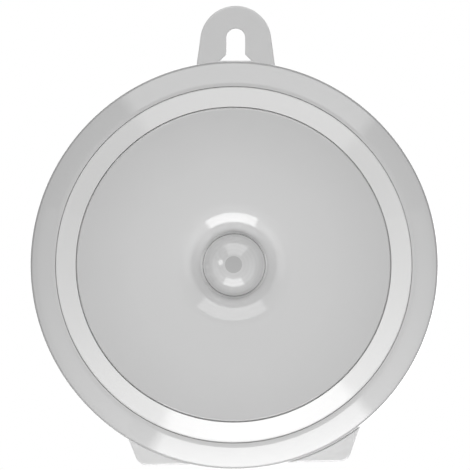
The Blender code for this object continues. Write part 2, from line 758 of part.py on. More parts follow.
def make_sensors():
    top_d = part_d + PYRO_HEIGHT
    profile = [(0, top_d), (PYRO_R, top_d), (PYRO_R, part_d + PYRO_BRIM_T)]
    profile += [(PYRO_BRIM_R, part_d + PYRO_BRIM_T), (PYRO_BRIM_R, part_d), (0, part_d)]
    can = turned("pyro_sensor", profile, "nickel", closed=False, segments=CELL_SEGMENTS)
    width, height = PYRO_WINDOW_WIDTH / 2, PYRO_WINDOW_HEIGHT / 2
    recess_d = top_d - PYRO_WINDOW_T - GAP
    cut(can, block("pyro_recess", 0, 0, width + GAP, height + GAP, recess_d, top_d + OVERRUN))
    block("pyro_window", 0, 0, width, height, top_d - PYRO_WINDOW_T, top_d, "filter_glass")
    rod("light_sensor", LIGHT_SENSOR_X, 0, LIGHT_SENSOR_R, part_d, part_d + LIGHT_SENSOR_HEIGHT,
        "filter_glass", SCREW_SEGMENTS)


def make_electronics():
    block("control_chip", CHIP_X, CHIP_Y, CHIP_LENGTH / 2, CHIP_WIDTH / 2,
          part_d, part_d + CHIP_HEIGHT, "black_plastic")
    block("regulator", REGULATOR_X, REGULATOR_Y, REGULATOR_LENGTH / 2, REGULATOR_WIDTH / 2,
          part_d, part_d + REGULATOR_HEIGHT, "black_plastic")
    for i in range(2):
        rod(f"capacitor_{i + 1}", CAPACITOR_X, CAPACITOR_Y - CAPACITOR_PITCH * i, CAPACITOR_R,
            part_d, part_d + CAPACITOR_HEIGHT, "black_plastic")


def make_tray():
    """An upturned box over the cells, with an ear at each side for its screw."""
    middle_y = (bay_top_y + bay_low_y) / 2
    half_y = bay_height / 2
    tray = block("battery_tray", 0, middle_y, tray_half, half_y + TRAY_WALL, tray_low_d, post_top_d,
                 "tray_plastic")
    cut(tray, block("bay", 0, middle_y, bay_half, half_y, tray_low_d - OVERRUN, tray_floor_d))
    ear_root = TRAY_WALL / 2
    ear_top_d = ear_d + EAR_T
    notch_half = DOOR_LUG_WIDTH / 2 + SLOT_CLEAR
    for side in (-1, 1):
        join(tray, block("tray_ear", side * (ear_x - ear_root / 2), ear_y, (EAR_LENGTH + ear_root) / 2,
                         EAR_WIDTH / 2, ear_d, ear_top_d))
        cut(tray, rod("ear_hole", side * ear_x, ear_y, TRAY_SCREW_R + GAP, ear_d - OVERRUN, ear_top_d + OVERRUN))
        cut(tray, block("lug_notch", side * DOOR_LUG_X, TRAY_TOP_Y - TRAY_WALL / 2, notch_half, TRAY_WALL,
                        tray_low_d - OVERRUN, lug_swing_d + GAP))
    for i in range(1, CELLS):
        rib_y = cell_y(0) + cell_pitch / 2 - cell_pitch * i
        join(tray, block("tray_rib", 0, rib_y, TRAY_RIB_LENGTH / 2, TRAY_RIB_T / 2,
                         tray_floor_d - TRAY_RIB_HEIGHT, tray_floor_d + TRAY_FLOOR / 2))
    for x, y in tail_places:
        cut(tray, tail_slot("tray_slot", x, y, tray_floor_d - GAP, post_top_d + OVERRUN))


def make_cells():
    """Cells side by side, every second one turned round, each with its spring at its flat end."""
    end = CELL_LENGTH / 2
    neck = end - CELL_NUB_HEIGHT
    profile = [(0, end), (CELL_NUB_R, end), (CELL_NUB_R, neck), (CELL_R, neck), (CELL_R, -end), (0, -end)]
    for i in range(CELLS):
        side = 1 if i % 2 == 0 else -1
        cell = turned(f"cell_{i + 1}", profile, "cell_wrap", closed=False, segments=CELL_SEGMENTS)
        cell.rotation_euler.y = side * math.radians(90)
        cell.location = (side * cell_x, cell_y(i), cell_d)
        make_spring(f"contact_spring_{i + 1}", -side, cell_y(i))


def make_spring(name, side, y):
    """A conical spring whose wide end sits on the contact at that side."""
    start_x = bay_half - GAP - CONTACT_T - GAP - SPRING_WIRE / 2
    run = SPRING_LENGTH - SPRING_WIRE
    count = round(SPRING_TURNS * SPRING_POINTS)
    route = []
    for i in range(count + 1):
        along = i / count
        radius = SPRING_BASE_R + (SPRING_TIP_R - SPRING_BASE_R) * along
        across, up = on_circle(radius, math.tau * SPRING_TURNS * along)
        route.append((side * (start_x - run * along), y + across, cell_d + up))
    tube(name, route, SPRING_WIRE / 2, 1, "steel")
    print(name, "least gap to itself", round(self_gap(route, SPRING_WIRE, SPRING_POINTS // 2), 5), "m")


def make_contact(name, side, first, last, tail=False):
    """A contact plate in front of one cell's end or two, with a soldered tail if it is a terminal."""
    top = cell_y(first) + CONTACT_WIDTH / 2
    low = cell_y(last) - CONTACT_WIDTH / 2
    near, far = cell_d - CONTACT_HEIGHT / 2, cell_d + CONTACT_HEIGHT / 2
    outline = [(low, near), (top, near), (top, far)]
    if tail:
        tail_y = cell_y(first) + TAIL_SHIFT
        tip_d = board_top_d + TAIL_PROUD
        right, left = tail_y + TAIL_WIDTH / 2, tail_y - TAIL_WIDTH / 2
        outline += [(right, far), (right, tip_d), (left, tip_d), (left, far)]
    outline.append((low, far))
    middle = side * contact_x
    sheet(name, outline, middle - CONTACT_T / 2, middle + CONTACT_T / 2, "nickel", SIDEWAYS)


def make_contacts():
    make_contact("contact_positive", 1, 0, 0, tail=True)
    make_contact("contact_link_right", 1, 1, 2)
    make_contact("contact_link_left", -1, 0, 1)
    make_contact("contact_negative", -1, 2, 2, tail=True)


def make_door():
    """The battery door, with its two lugs behind the shell and its latch tongue between two slits."""
    pivot = (0, door_top_y, DOOR_INSET)
    root_d = DOOR_INSET + DOOR_T / 2
    nib_y = door_low_y + LATCH_NIB_INSET
    nib_top_d = door_in_d + LATCH_NIB_HEIGHT
    door = block("battery_door", 0, (door_top_y + door_low_y) / 2, door_half, (door_top_y - door_low_y) / 2,
                 DOOR_INSET, door_in_d, "back_plastic", pivot)
    for side in (-1, 1):
        low_x, high_x = side * DOOR_LUG_X - DOOR_LUG_WIDTH / 2, side * DOOR_LUG_X + DOOR_LUG_WIDTH / 2
        root = (low_x, door_top_y - DOOR_LUG_ROOT, root_d)
        join(door, box("lug_root", root, (high_x, door_top_y - DOOR_LUG_ROOT / 4, lug_top_d)))
        lug = (low_x, door_top_y - DOOR_LUG_ROOT / 2, lug_low_d)
        join(door, box("lug", lug, (high_x, lug_tip_y, lug_top_d)))
        cut(door, block("latch_slit", side * LATCH_WIDTH / 2, door_low_y, LATCH_SLIT / 2, LATCH_DEPTH,
                        -OVERRUN, door_in_d + OVERRUN))
    join(door, box("latch_nib", (-LATCH_WIDTH / 4, nib_y, root_d),
                   (LATCH_WIDTH / 4, nib_y + LATCH_NIB_T, nib_top_d)))
    dish_y = door_low_y + LATCH_DEPTH + GRIP_R
    cut(door, rod("finger_dish", 0, dish_y, GRIP_R, -OVERRUN, DOOR_INSET + GRIP_SINK))


def make_switch():
    body = block("switch_body", 0, SWITCH_Y, SWITCH_WIDTH / 2, SWITCH_HEIGHT / 2, switch_d, switch_top_d,
                 "black_plastic")
    cut(body, block("stem_space", 0, SWITCH_Y, slot_half, STEM_HEIGHT / 2 + GAP,
                    switch_d - OVERRUN, stem_top_d + GAP))
    knob = block("mode_knob", 0, SWITCH_Y, KNOB_WIDTH / 2, KNOB_HEIGHT / 2, KNOB_INSET, POCKET_DEPTH - GAP,
                 "black_plastic", (0, SWITCH_Y, KNOB_INSET))
    join(knob, block("stem", 0, SWITCH_Y, STEM_WIDTH / 2, STEM_HEIGHT / 2, POCKET_DEPTH / 2, stem_top_d))
    for i in (-1, 0, 1):
        cut(knob, block("grip_groove", i * KNOB_WIDTH / 3, SWITCH_Y, KNOB_GROOVE / 2, KNOB_HEIGHT,
                        -OVERRUN, KNOB_INSET + KNOB_GROOVE))
    for i in (-1, 0, 1):
        route = []
        for along in spread(0, 1, LEAD_STEPS):
            bow = LEAD_BOW * math.sin(math.pi * along) ** 2
            depth = switch_top_d + GAP + (board_d - switch_top_d - GAP * 2) * along
            route.append((i * LEAD_PITCH, SWITCH_Y + bow, depth))
        tube(f"switch_lead_{i + 2}", route, LEAD_R, 2, "lead_red")


def screw_mesh(name, radius, head_r, head_t, length):
    """A pan head screw with a cross recess, drawn from its head's face to its tip."""
    profile = [(0, length), (radius, length - radius), (radius, head_t), (head_r, head_t)]
    profile += [(head_r, head_t / 2), (head_r - head_t / 2, 0), (0, 0)]
    screw = turned(name, profile, "steel", closed=False, segments=SCREW_SEGMENTS)
    slots = []
    for half_x, half_y in ((RECESS_LENGTH, RECESS_WIDTH), (RECESS_WIDTH, RECESS_LENGTH)):
        slots.append(block("recess", 0, 0, half_x / 2, half_y / 2, -OVERRUN, RECESS_DEPTH))
        cut(screw, slots[-1])
    mesh = as_mesh(screw, Matrix())
    for slot in slots:
        bpy.data.objects.remove(slot)
    return mesh


def add_copy(name, mesh, x, y, d):
    obj = bpy.data.objects.new(name, mesh)
    obj.location = (x, y, d)
    obj.parent = light
    parts.objects.link(obj)
    return obj


def make_screws():
    mesh = screw_mesh("housing_screw", SCREW_R, SCREW_HEAD_R, SCREW_HEAD_T, screw_tip_d - SCREW_SINK)
    for i, (x, y) in enumerate(post_places, start=1):
        add_copy(f"housing_screw_{i}", mesh, x, y, SCREW_SINK)
    length = tray_head_d - TRAY_SCREW_TIP
    mesh = screw_mesh("tray_screw", TRAY_SCREW_R, TRAY_SCREW_HEAD_R, TRAY_SCREW_HEAD_T, length)
    for i, side in enumerate((-1, 1), start=1):
        screw = add_copy(f"tray_screw_{i}", mesh, side * ear_x, ear_y, tray_head_d)
        screw.rotation_euler.x = math.pi


make_back_shell()
make_housing()
make_light_ring()
make_front_cover()
make_lens()
make_reflector()
make_board()
make_leds()
make_sensors()
make_electronics()
make_tray()
make_cells()
make_contacts()
make_door()
make_switch()
make_screws()
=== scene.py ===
"""Finished look of a round wall light with a motion sensor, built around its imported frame.

The light hangs with its back in the plane Y = 0 and faces -Y; Z runs up through its hang tab.
Profiles are drawn as (radius, depth) pairs, where depth is counted out from the wall.
"""

import math

import bmesh
import bpy
from bpy.props import FloatProperty, FloatVectorProperty, IntProperty, PointerProperty
from mathutils import Matrix, Vector


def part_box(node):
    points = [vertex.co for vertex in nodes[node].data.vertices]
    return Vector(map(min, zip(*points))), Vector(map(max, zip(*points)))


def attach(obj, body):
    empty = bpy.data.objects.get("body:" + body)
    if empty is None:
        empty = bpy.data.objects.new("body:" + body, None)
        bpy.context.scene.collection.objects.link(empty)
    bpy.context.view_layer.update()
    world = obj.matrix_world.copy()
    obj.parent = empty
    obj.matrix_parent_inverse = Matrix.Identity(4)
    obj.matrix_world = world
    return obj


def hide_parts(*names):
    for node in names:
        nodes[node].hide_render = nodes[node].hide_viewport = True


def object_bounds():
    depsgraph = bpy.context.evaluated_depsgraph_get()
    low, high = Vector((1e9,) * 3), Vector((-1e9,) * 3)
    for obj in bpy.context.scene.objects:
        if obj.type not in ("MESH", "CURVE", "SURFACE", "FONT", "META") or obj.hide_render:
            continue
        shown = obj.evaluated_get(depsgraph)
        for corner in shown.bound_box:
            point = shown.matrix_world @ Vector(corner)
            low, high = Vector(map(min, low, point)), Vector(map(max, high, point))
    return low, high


bl_info = {
    "name": "Motion sensor wall light",
    "version": (1, 0, 0),
    "blender": (4, 5, 0),
    "location": "View3D > Sidebar > Wall Light",
    "description": "Builds the finished look of a round wall light with a motion sensor",
    "category": "Object",
}

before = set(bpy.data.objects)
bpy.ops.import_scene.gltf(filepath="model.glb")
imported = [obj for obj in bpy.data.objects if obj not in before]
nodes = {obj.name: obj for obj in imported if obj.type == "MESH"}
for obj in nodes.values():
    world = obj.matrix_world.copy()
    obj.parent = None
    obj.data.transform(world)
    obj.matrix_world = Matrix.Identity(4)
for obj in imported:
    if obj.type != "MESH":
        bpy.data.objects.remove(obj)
CAD_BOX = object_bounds()

MM = 0.001
UPRIGHT = math.radians(90)
AXIS = (0, 1, 0)

# Points closer than MERGE are joined, points within DEPTH_SLACK of a depth count as lying at it,
# edges sharper than SHARP are rounded in EDGE_SEGMENTS steps, edges flatter than SMOOTH are shaded
# smooth, and faces that turn by less than FLAT are joined
MERGE = 0.000002
DEPTH_SLACK = 0.00002
SHARP = math.radians(25)
SMOOTH = math.radians(32)
FLAT = math.radians(0.5)
EDGE_SEGMENTS = 3


def length(name, description, millimetres):
    """A size that can be changed in the sidebar."""
    return FloatProperty(name=name, description=description, default=millimetres * MM, min=0.0,
                         precision=5, unit="LENGTH", subtype="DISTANCE")


def place(name, description, millimetres):
    """A place on the light, which may lie on either side of its middle."""
    return FloatProperty(name=name, description=description, default=millimetres * MM,
                         precision=5, unit="LENGTH", subtype="DISTANCE")


def tilt(name, description, degrees):
    return FloatProperty(name=name, description=description, default=math.radians(degrees),
                         unit="ROTATION", subtype="ANGLE")


def share(name, description, value):
    return FloatProperty(name=name, description=description, default=value, min=0.0, max=1.0,
                         subtype="FACTOR")


def amount(name, description, value):
    return FloatProperty(name=name, description=description, default=value, min=0.0)


def colour(name, description, value):
    return FloatVectorProperty(name=name, description=description, default=value, size=3,
                               min=0.0, max=1.0, subtype="COLOR")


class CasingSizes(bpy.types.PropertyGroup):
    """Sizes of the turned pieces that face the room."""

    gap: length("Running gap", "Space between neighbouring pieces", 0.3)
    wall: length("Wall", "Wall of the housing and the cover", 2.0)
    seam: length("Seam", "Space that shows on either side of the light ring", 0.12)
    edge_break: length("Edge break", "Rounding of the moulded edges", 0.10)
    corner_radius: length("Corner radius", "Rounding between the flank and the side", 2.2)
    flank_radius: length("Flank radius", "Bulge of the flank outside the light ring", 22.0)
    flank_top_tilt: tilt("Flank top tilt", "Tilt of the flank at the shoulder", 20.3)
    flank_low_tilt: tilt("Flank low tilt", "Tilt of the flank at its corner", 40)
    lip_width: length("Lip width", "Ledge that carries the light ring", 2.3)
    lip_thickness: length("Lip thickness", "Thickness of that ledge", 1.5)
    ring_width: length("Ring width", "Width of the light ring", 6.4)
    ring_tilt: tilt("Ring tilt", "Slope of the light ring", 28.7)
    ring_wall: length("Ring wall", "Thickness under the ring's face", 2.0)
    ring_foot: length("Ring foot", "Width of the ring's outer foot", 2.0)
    flange_reach: length("Flange reach", "How far the ring runs in under the cover", 1.3)
    flange_thickness: length("Flange thickness", "Thickness of that flange", 1.0)
    crown_radius: length("Crown radius", "Radius of the cover's crown", 200.0)
    crown_place: length("Crown place", "Radius at which the crown is highest", 32.0)
    cover_edge_radius: length("Cover edge radius", "Rounding of the cover's rim", 0.9)
    cover_edge_land: length("Cover edge land", "Upright part of the cover's rim", 0.4)
    skirt_thickness: length("Skirt thickness", "Wall that drops from the cover's rim", 1.6)
    skirt_height: length("Skirt height", "How far that wall drops", 3.4)
    throat_gap: length("Throat gap", "Space between the dome and the throat's lip", 0.04)
    throat_lip: length("Throat lip", "Height of the lip that closes the throat around the dome", 2.45)
    throat_slope: length("Throat slope", "Height at which the lip's slope meets the bullnose", 2.8)
    boss_radius: length("Boss radius", "Screw bosses under the cover", 3.0)
    turn_steps: IntProperty(name="Turn steps", description="Steps around each turned piece",
                            default=288, min=32, max=512)


class LensSizes(bpy.types.PropertyGroup):
    """Sizes of the sensor's dome."""

    radius: length("Dome radius", "Outer radius of the dome", 10.1)
    wall: length("Dome wall", "Thickness of the dome", 0.7)
    rise: length("Dome rise", "How far the dome's widest place lies above its flange", 2.0)
    facet_radius: length("Facet radius", "Flat spot in the middle of the dome", 2.75)
    flange_radius: length("Flange radius", "Flange behind the cover", 11.9)
    flange_thickness: length("Flange thickness", "Thickness of that flange", 1.1)
    foot_radius: length("Foot radius", "Pegs that stand in the board", 0.7)
    pegs: IntProperty(name="Pegs", description="Number of those pegs", default=3, min=1, max=8)
    edge_break: length("Edge break", "Rounding of the facet's edge", 0.12)
    turn_steps: IntProperty(name="Turn steps", description="Steps around the dome", default=160,
                            min=32, max=512)


class PlateSizes(bpy.types.PropertyGroup):
    """Sizes of the back shell, its tab and its foot."""

    thickness: length("Plate thickness", "Thickness of the round plate", 2.0)
    tab_thickness: length("Tab thickness", "Thickness of the tab and the foot", 2.4)
    inset: length("Plate inset", "How far the plate stays inside the housing's side", 0.3)
    edge_radius: length("Edge radius", "Rounding around the front of the tab and the foot", 0.55)
    slot_edge_radius: length("Slot edge radius", "Rounding of the keyhole's edge", 0.32)
    rear_edge_radius: length("Rear edge radius", "Rounding of the edges against the wall", 0.25)
    tab_radius: length("Tab radius", "Round end of the hang tab", 11.6)
    tab_rise: length("Tab rise", "Centre of the round end above the plate's edge", 7.5)
    tab_taper: tilt("Tab taper", "Lean of the tab's sides", 7.9)
    slot_half: length("Slot half width", "Half the width of the keyhole", 3.07)
    slot_height: length("Slot height", "Height of the keyhole", 10.5)
    slot_base_gap: length("Slot base", "Keyhole's foot above the housing", 0.9)
    flare_half: length("Flare half width", "Half the width of the keyhole's foot", 5.16)
    flare_height: length("Flare height", "Height of the keyhole's flare", 2.0)
    foot_left_reach: length("Left foot reach", "How far the left corner stands out", 6.36)
    foot_left_angle: tilt("Left foot angle", "Place of the left corner around the plate", 25.9)
    foot_left_splay: tilt("Left foot splay", "Lean of the foot's left side", 21.6)
    foot_right_reach: length("Right foot reach", "How far the right corner stands out", 7.51)
    foot_right_angle: tilt("Right foot angle", "Place of the right corner around the plate", 29.9)
    foot_right_splay: tilt("Right foot splay", "Lean of the foot's right side", 18.7)
    foot_corner_radius: length("Foot corner radius", "Rounding of the foot's corners", 4.0)
    foot_root_radius: length("Foot root radius", "Blend of the foot's sides into the plate", 8.0)
    rim_thickness: length("Rim thickness", "Upright rim inside the housing", 1.5)
    rim_height: length("Rim height", "Height of that rim", 6.0)
    rim_gap: length("Rim gap", "Space between the rim and the housing", 0.5)
    post_radius: length("Post radius", "Posts that take the housing's screws", 3.6)
    post_circle: length("Post circle", "Radius on which the posts stand", 45.527)
    post_upper_angle: tilt("Upper post angle", "Angle of the upper posts", 45)
    post_lower_angle: tilt("Lower post angle", "Angle of the lower posts below level", 29)
    ear_boss_radius: length("Tray boss radius", "Bosses that take the tray's screws", 2.8)
    ear_boss_height: length("Tray boss height", "Height of those bosses", 4.0)
    ear_x: length("Tray boss place", "Distance of those bosses from the middle", 33.4)
    ear_y: place("Tray boss height on the plate", "Height of those bosses on the plate", -30.875)


class BackSizes(bpy.types.PropertyGroup):
    """Sizes of the battery door and the switch, as seen from behind."""

    opening_half: length("Opening half width", "Half the width of the door's opening", 29.5)
    opening_top: place("Opening top", "Upper edge of the opening", -5.5)
    opening_low: place("Opening foot", "Lower edge of the opening", -48.6)
    door_thickness: length("Door thickness", "Thickness of the door", 1.6)
    door_inset: length("Door inset", "How far the door lies inside the plate's face", 0.3)
    door_edge_radius: length("Door edge radius", "Rounding of the door's edges", 0.22)
    lug_place: length("Lug place", "Distance of the door's lugs from the middle", 16.0)
    lug_width: length("Lug width", "Width of the door's lugs", 6.0)
    lug_thickness: length("Lug thickness", "Thickness of the door's lugs", 1.0)
    lug_reach: length("Lug reach", "How far the lugs run under the plate", 1.4)
    lug_root: length("Lug root", "How far the lugs stand on the door", 1.2)
    latch_width: length("Latch width", "Width of the latch tongue", 12.0)
    latch_depth: length("Latch depth", "Depth of the slits beside the tongue", 5.0)
    latch_slit: length("Latch slit", "Width of those slits", 1.0)
    nib_thickness: length("Nib thickness", "Thickness of the latch nib", 0.8)
    nib_inset: length("Nib inset", "Distance of the nib from the door's edge", 0.3)
    nib_height: length("Nib height", "Height of the latch nib", 2.2)
    dish_radius: length("Dish radius", "Finger dish in the door", 6.0)
    dish_depth: length("Dish depth", "Depth of the finger dish", 0.6)
    thumb_radius: length("Thumb radius", "Thumb recess in the plate", 6.0)
    thumb_depth: length("Thumb depth", "Depth of the thumb recess", 1.2)
    switch_y: place("Switch height", "Height of the switch on the plate", 25.0)
    pocket_width: length("Pocket width", "Width of the switch pocket", 18.0)
    pocket_height: length("Pocket height", "Height of the switch pocket", 10.0)
    pocket_depth: length("Pocket depth", "Depth of the switch pocket", 2.8)
    pocket_wall: length("Pocket wall", "Wall around the pocket", 1.2)
    stem_slot_half: length("Stem slot half width", "Half the slot for the knob's stem", 3.8)
    stem_height: length("Stem height", "Height of the knob's stem", 2.0)
    clip_thickness: length("Clip thickness", "Clips beside the switch", 1.2)
    clip_height: length("Clip height", "Height of those clips", 3.0)
    switch_width: length("Switch width", "Width of the switch body", 11.2)
    switch_height: length("Switch height across", "Height of the switch body", 5.6)
    knob_edge_radius: length("Knob edge radius", "Rounding of the knob's edges", 0.12)
    body_edge_radius: length("Body edge radius", "Rounding of the switch body's edges", 0.15)


class CellSizes(bpy.types.PropertyGroup):
    """Sizes of the cells and their springs."""

    radius: length("Cell radius", "Radius of a cell", 7.25)
    length: length("Cell length", "Length of a cell with its nub", 50.5)
    nub_radius: length("Nub radius", "Radius of the positive nub", 2.75)
    nub_height: length("Nub height", "Height of the positive nub", 1.2)
    sleeve_edge: length("Sleeve edge", "Rounding of the sleeve's ends", 0.7)
    spring_base: length("Spring base", "Radius of a spring at its plate", 4.0)
    spring_tip: length("Spring tip", "Radius of a spring at its cell", 2.5)
    spring_wire: length("Spring wire", "Thickness of a spring's wire", 0.8)
    spring_turns: amount("Spring turns", "Turns of a spring", 3.5)
    metal_end: share("Metal end", "Bare metal at a cell's ends, in shares of its radius", 0.72)
    sunk_end: share("Sunk end", "The sunk part of its flat end, in shares of its radius", 0.70)
    turn_steps: IntProperty(name="Turn steps", description="Steps around a cell", default=96,
                            min=16, max=256)
    spring_steps: IntProperty(name="Spring steps", description="Points in each turn of a spring",
                              default=28, min=8, max=64)


class ScrewSizes(bpy.types.PropertyGroup):
    """Sizes of the screws."""

    radius: length("Screw radius", "Shank of a housing screw", 1.3)
    head_radius: length("Head radius", "Head of a housing screw", 2.3)
    head_height: length("Head height", "Height of that head", 1.8)
    tray_radius: length("Tray screw radius", "Shank of a tray screw", 0.85)
    tray_head_radius: length("Tray head radius", "Head of a tray screw", 1.7)
    tray_head_height: length("Tray head height", "Height of that head", 1.3)
    recess_length: length("Recess length", "Arm of the cross recess", 2.2)
    recess_width: length("Recess width", "Width of that arm", 0.6)
    recess_depth: length("Recess depth", "Depth of the cross recess", 0.8)
    turn_steps: IntProperty(name="Turn steps", description="Steps around a screw", default=48,
                            min=12, max=128)


class Finishes(bpy.types.PropertyGroup):
    """Colours and gloss of the light's materials."""

    housing: colour("Housing", "Gloss plastic of the housing", (0.68, 0.68, 0.68))
    cover: colour("Cover", "Gloss plastic of the crowned cover, at its rim", (0.685, 0.685, 0.685))
    # Painted light: the cover's colour around the lens, paler to lift the shade of the throat
    cover_painted_light: colour("Pale cover", "The same plastic around the lens", (0.96, 0.96, 0.96))
    back: colour("Back", "Satin plastic of the back shell", (0.88, 0.88, 0.88))
    opal: colour("Light ring", "Opal plastic of the light ring", (0.97, 0.97, 0.965))
    lens: colour("Lens", "Milky plastic of the sensor's dome", (0.77, 0.77, 0.77))
    facet: colour("Lens facet", "Flat spot in the middle of the dome", (0.56, 0.56, 0.56))
    reflector: colour("Reflector", "Bright white of the trough", (0.85, 0.85, 0.85))
    mask: colour("Board", "Solder mask of the board", (0.015, 0.11, 0.045))
    sleeve: colour("Cell sleeve", "Sleeve of the cells", (0.025, 0.06, 0.19))
    tray: colour("Tray", "Moulding around the cells", (0.085, 0.085, 0.09))
    black: colour("Black plastic", "Switch, chips and capacitors", (0.018, 0.018, 0.019))
    steel: colour("Steel", "Zinc plated springs and screws", (0.55, 0.55, 0.56))
    nickel: colour("Nickel", "Nickel plated contacts", (0.64, 0.61, 0.56))
    lead: colour("Leads", "Insulation of the leads", (0.42, 0.015, 0.015))
    phosphor: colour("Phosphor", "Window of an LED", (0.78, 0.60, 0.12))
    filter: colour("Filter", "Dark infrared filter", (0.025, 0.02, 0.03))
    gloss: share("Gloss roughness", "Roughness of the gloss plastic's skin", 0.045)
    body_gloss: share("Body roughness", "Roughness under that skin", 0.30)
    skin_ior: amount("Skin index", "Refractive index of the gloss plastic's skin", 2.1)
    lens_ior: amount("Lens index", "Refractive index of the lens's skin", 1.9)
    ring_ior: amount("Ring index", "Refractive index of the light ring's skin", 1.75)
    body_specular: share("Body specular", "Reflection under that skin", 0.25)
    satin: share("Satin roughness", "Roughness of the back shell", 0.32)


class StageLook(bpy.types.PropertyGroup):
    """Camera, floor and lamps."""

    azimuth: tilt("Camera azimuth", "How far the camera stands to the right", 1.40)
    elevation: tilt("Camera elevation", "How far the camera stands above level", -1.15)
    distance: amount("Camera distance", "Distance from the aim to the camera, in metres", 4.253)
    focal: amount("Focal length", "Focal length in millimetres", 1000.0)
    aim_x: place("Aim across", "Point in the wall's plane that the camera aims at", -0.3)
    aim_z: place("Aim height", "Height of that point", 10.2)
    floor_drop: length("Floor drop", "How far the floor lies below the light", 34.0)
    fill: amount("Fill", "Strength of the even fill light", 0.36)
    low_box: amount("Low soft box", "Radiance of the soft box below the lens", 1.8)
    top_box: amount("Top soft box", "Radiance of the soft box above", 0.72)
    lens_box: amount("Lens soft box", "Radiance of the soft box above for the lens alone", 0.90)
    side_box: amount("Side soft boxes", "Radiance of the soft boxes at the sides", 0.15)
    spot: amount("Small lamp", "Radiance of the small lamp at the left", 2.2)
    back_box: amount("Back soft box", "Radiance of the soft box behind", 0.8)
    box_distance: length("Box distance", "Distance of the soft boxes in front", 800)
    back_distance: length("Back box distance", "Distance of the soft box behind", 900)
    box_fade: tilt("Box fade", "Angle over which a soft box fades out at its sides", 4)
    spot_theta: tilt("Small lamp angle", "Its angle from the way that the light faces", 40.6)
    spot_azimuth: tilt("Small lamp azimuth", "Its place around the light, clockwise from up", -79)
    spot_distance: length("Small lamp distance", "Distance of the small lamp", 600)
    spot_radius: length("Small lamp radius", "Radius of the small lamp", 85)
    flag_radius: length("Flag radius", "Dark tube around the light", 350)
    flag_near: place("Flag start", "Where that tube starts, behind the face", -20)
    flag_far: place("Flag end", "Where that tube ends, behind the wall", 600)
    flag_tone: colour("Flag tone", "Tone of that tube", (0.30, 0.30, 0.30))
    floor_tone: colour("Floor tone", "Tone of the floor near the light", (0.9, 0.9, 0.9))
    floor_half: length("Floor size", "Half the width of the floor", 6000)
    floor_near: length("Floor fade start", "Where the floor starts to run out into white", 200)
    floor_far: length("Floor fade end", "Where the floor is all white", 1200)


GROUPS = {
    "casing": CasingSizes,
    "lens": LensSizes,
    "plate": PlateSizes,
    "back": BackSizes,
    "cells": CellSizes,
    "screws": ScrewSizes,
    "finishes": Finishes,
    "stage": StageLook,
}


class WallLight(bpy.types.PropertyGroup):
    """All that the sidebar shows."""

    casing: PointerProperty(type=CasingSizes)
    lens: PointerProperty(type=LensSizes)
    plate: PointerProperty(type=PlateSizes)
    back: PointerProperty(type=BackSizes)
    cells: PointerProperty(type=CellSizes)
    screws: PointerProperty(type=ScrewSizes)
    finishes: PointerProperty(type=Finishes)
    stage: PointerProperty(type=StageLook)


# Depths and radii that the pieces share


def reach(node):
    """The largest radius of a turned node."""
    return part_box(node)[1].x


def front(node):
    """The depth of a node's foremost point."""
    return -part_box(node)[0].y


def rear(node):
    """The depth of a node's rearmost point."""
    return -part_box(node)[1].y


def middle(node):
    low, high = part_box(node)
    return (low + high) / 2


class Depths:
    """Depths and radii of the casing, worked out once from the frame and the sizes."""

    def __init__(self, light):
        casing, lens = light.casing, light.lens
        slope = math.tan(casing.ring_tilt)
        self.body_r = reach("housing")
        self.low_d = rear("housing")
        self.shoulder_d = front("housing")
        self.ring_out_r = reach("light_ring")
        self.ring_in_r = self.ring_out_r - casing.ring_width
        self.ring_top_d = front("light_ring")
        self.ring_low_d = self.ring_top_d - casing.ring_width * slope
        self.ring_foot_d = rear("light_ring")
        self.lip_top_d = self.ring_foot_d - casing.gap
        self.lip_low_d = self.lip_top_d - casing.lip_thickness
        self.step_r = self.ring_out_r + casing.seam
        self.lip_r = self.step_r - casing.lip_width
        self.cover_r = reach("front_cover")
        self.peak_d = front("front_cover")
        self.flange_r = self.ring_in_r - casing.flange_reach
        self.skirt_r = self.flange_r - casing.gap
        self.part_d = rear("front_cover")
        self.lens_d = self.part_d + lens.flange_thickness
        self.throat_d = self.lens_d + casing.gap
        self.throat_r = lens.radius + casing.gap
        corner_r, flank_r = casing.corner_radius, casing.flank_radius
        low_tilt, top_tilt = casing.flank_low_tilt, casing.flank_top_tilt
        self.housing_in_r = self.body_r - casing.wall
        self.corner_x = self.body_r - corner_r
        self.flank_x = self.corner_x - (flank_r - corner_r) * math.sin(low_tilt)
        self.flank_d = self.shoulder_d - flank_r * math.cos(top_tilt)
        self.corner_d = self.flank_d + (flank_r - corner_r) * math.cos(low_tilt)
        crown_r = casing.crown_radius
        self.crown_d = self.peak_d - crown_r
        drop = self.throat_d - self.crown_d
        run = casing.crown_place - self.throat_r
        self.bullnose_r = (crown_r ** 2 - drop ** 2 - run ** 2) / (crown_r - run) / 2
        self.bullnose_x = self.throat_r + self.bullnose_r
        lean = (casing.crown_place - self.bullnose_x) / (crown_r - self.bullnose_r)
        self.inner_tilt = math.asin(lean)
        edge_r = casing.cover_edge_radius
        self.edge_x = self.cover_r - edge_r
        self.outer_tilt = math.asin((self.edge_x - casing.crown_place) / (crown_r - edge_r))
        self.edge_d = self.crown_d + (crown_r - edge_r) * math.cos(self.outer_tilt)
        self.cover_low_d = self.edge_d - casing.cover_edge_land
        self.flange_top_d = self.cover_low_d - casing.gap
        self.flange_low_d = self.flange_top_d - casing.flange_thickness
        self.plate_r = self.body_r - light.plate.inset
        self.post_top_d = front("back_shell")


def light_settings():
    return bpy.context.scene.wall_light


def post_places(plate):
    """Where the four posts stand, from the upper right one round to the lower right one."""
    upper, lower = plate.post_upper_angle, -plate.post_lower_angle
    angles = (upper, math.pi - upper, math.pi - lower, lower)
    return [on_circle(plate.post_circle, angle) for angle in angles]


# Drawing


def on_circle(radius, angle):
    return radius * math.cos(angle), radius * math.sin(angle)


def spread(start, end, steps):
    return [start + (end - start) * i / steps for i in range(steps + 1)]


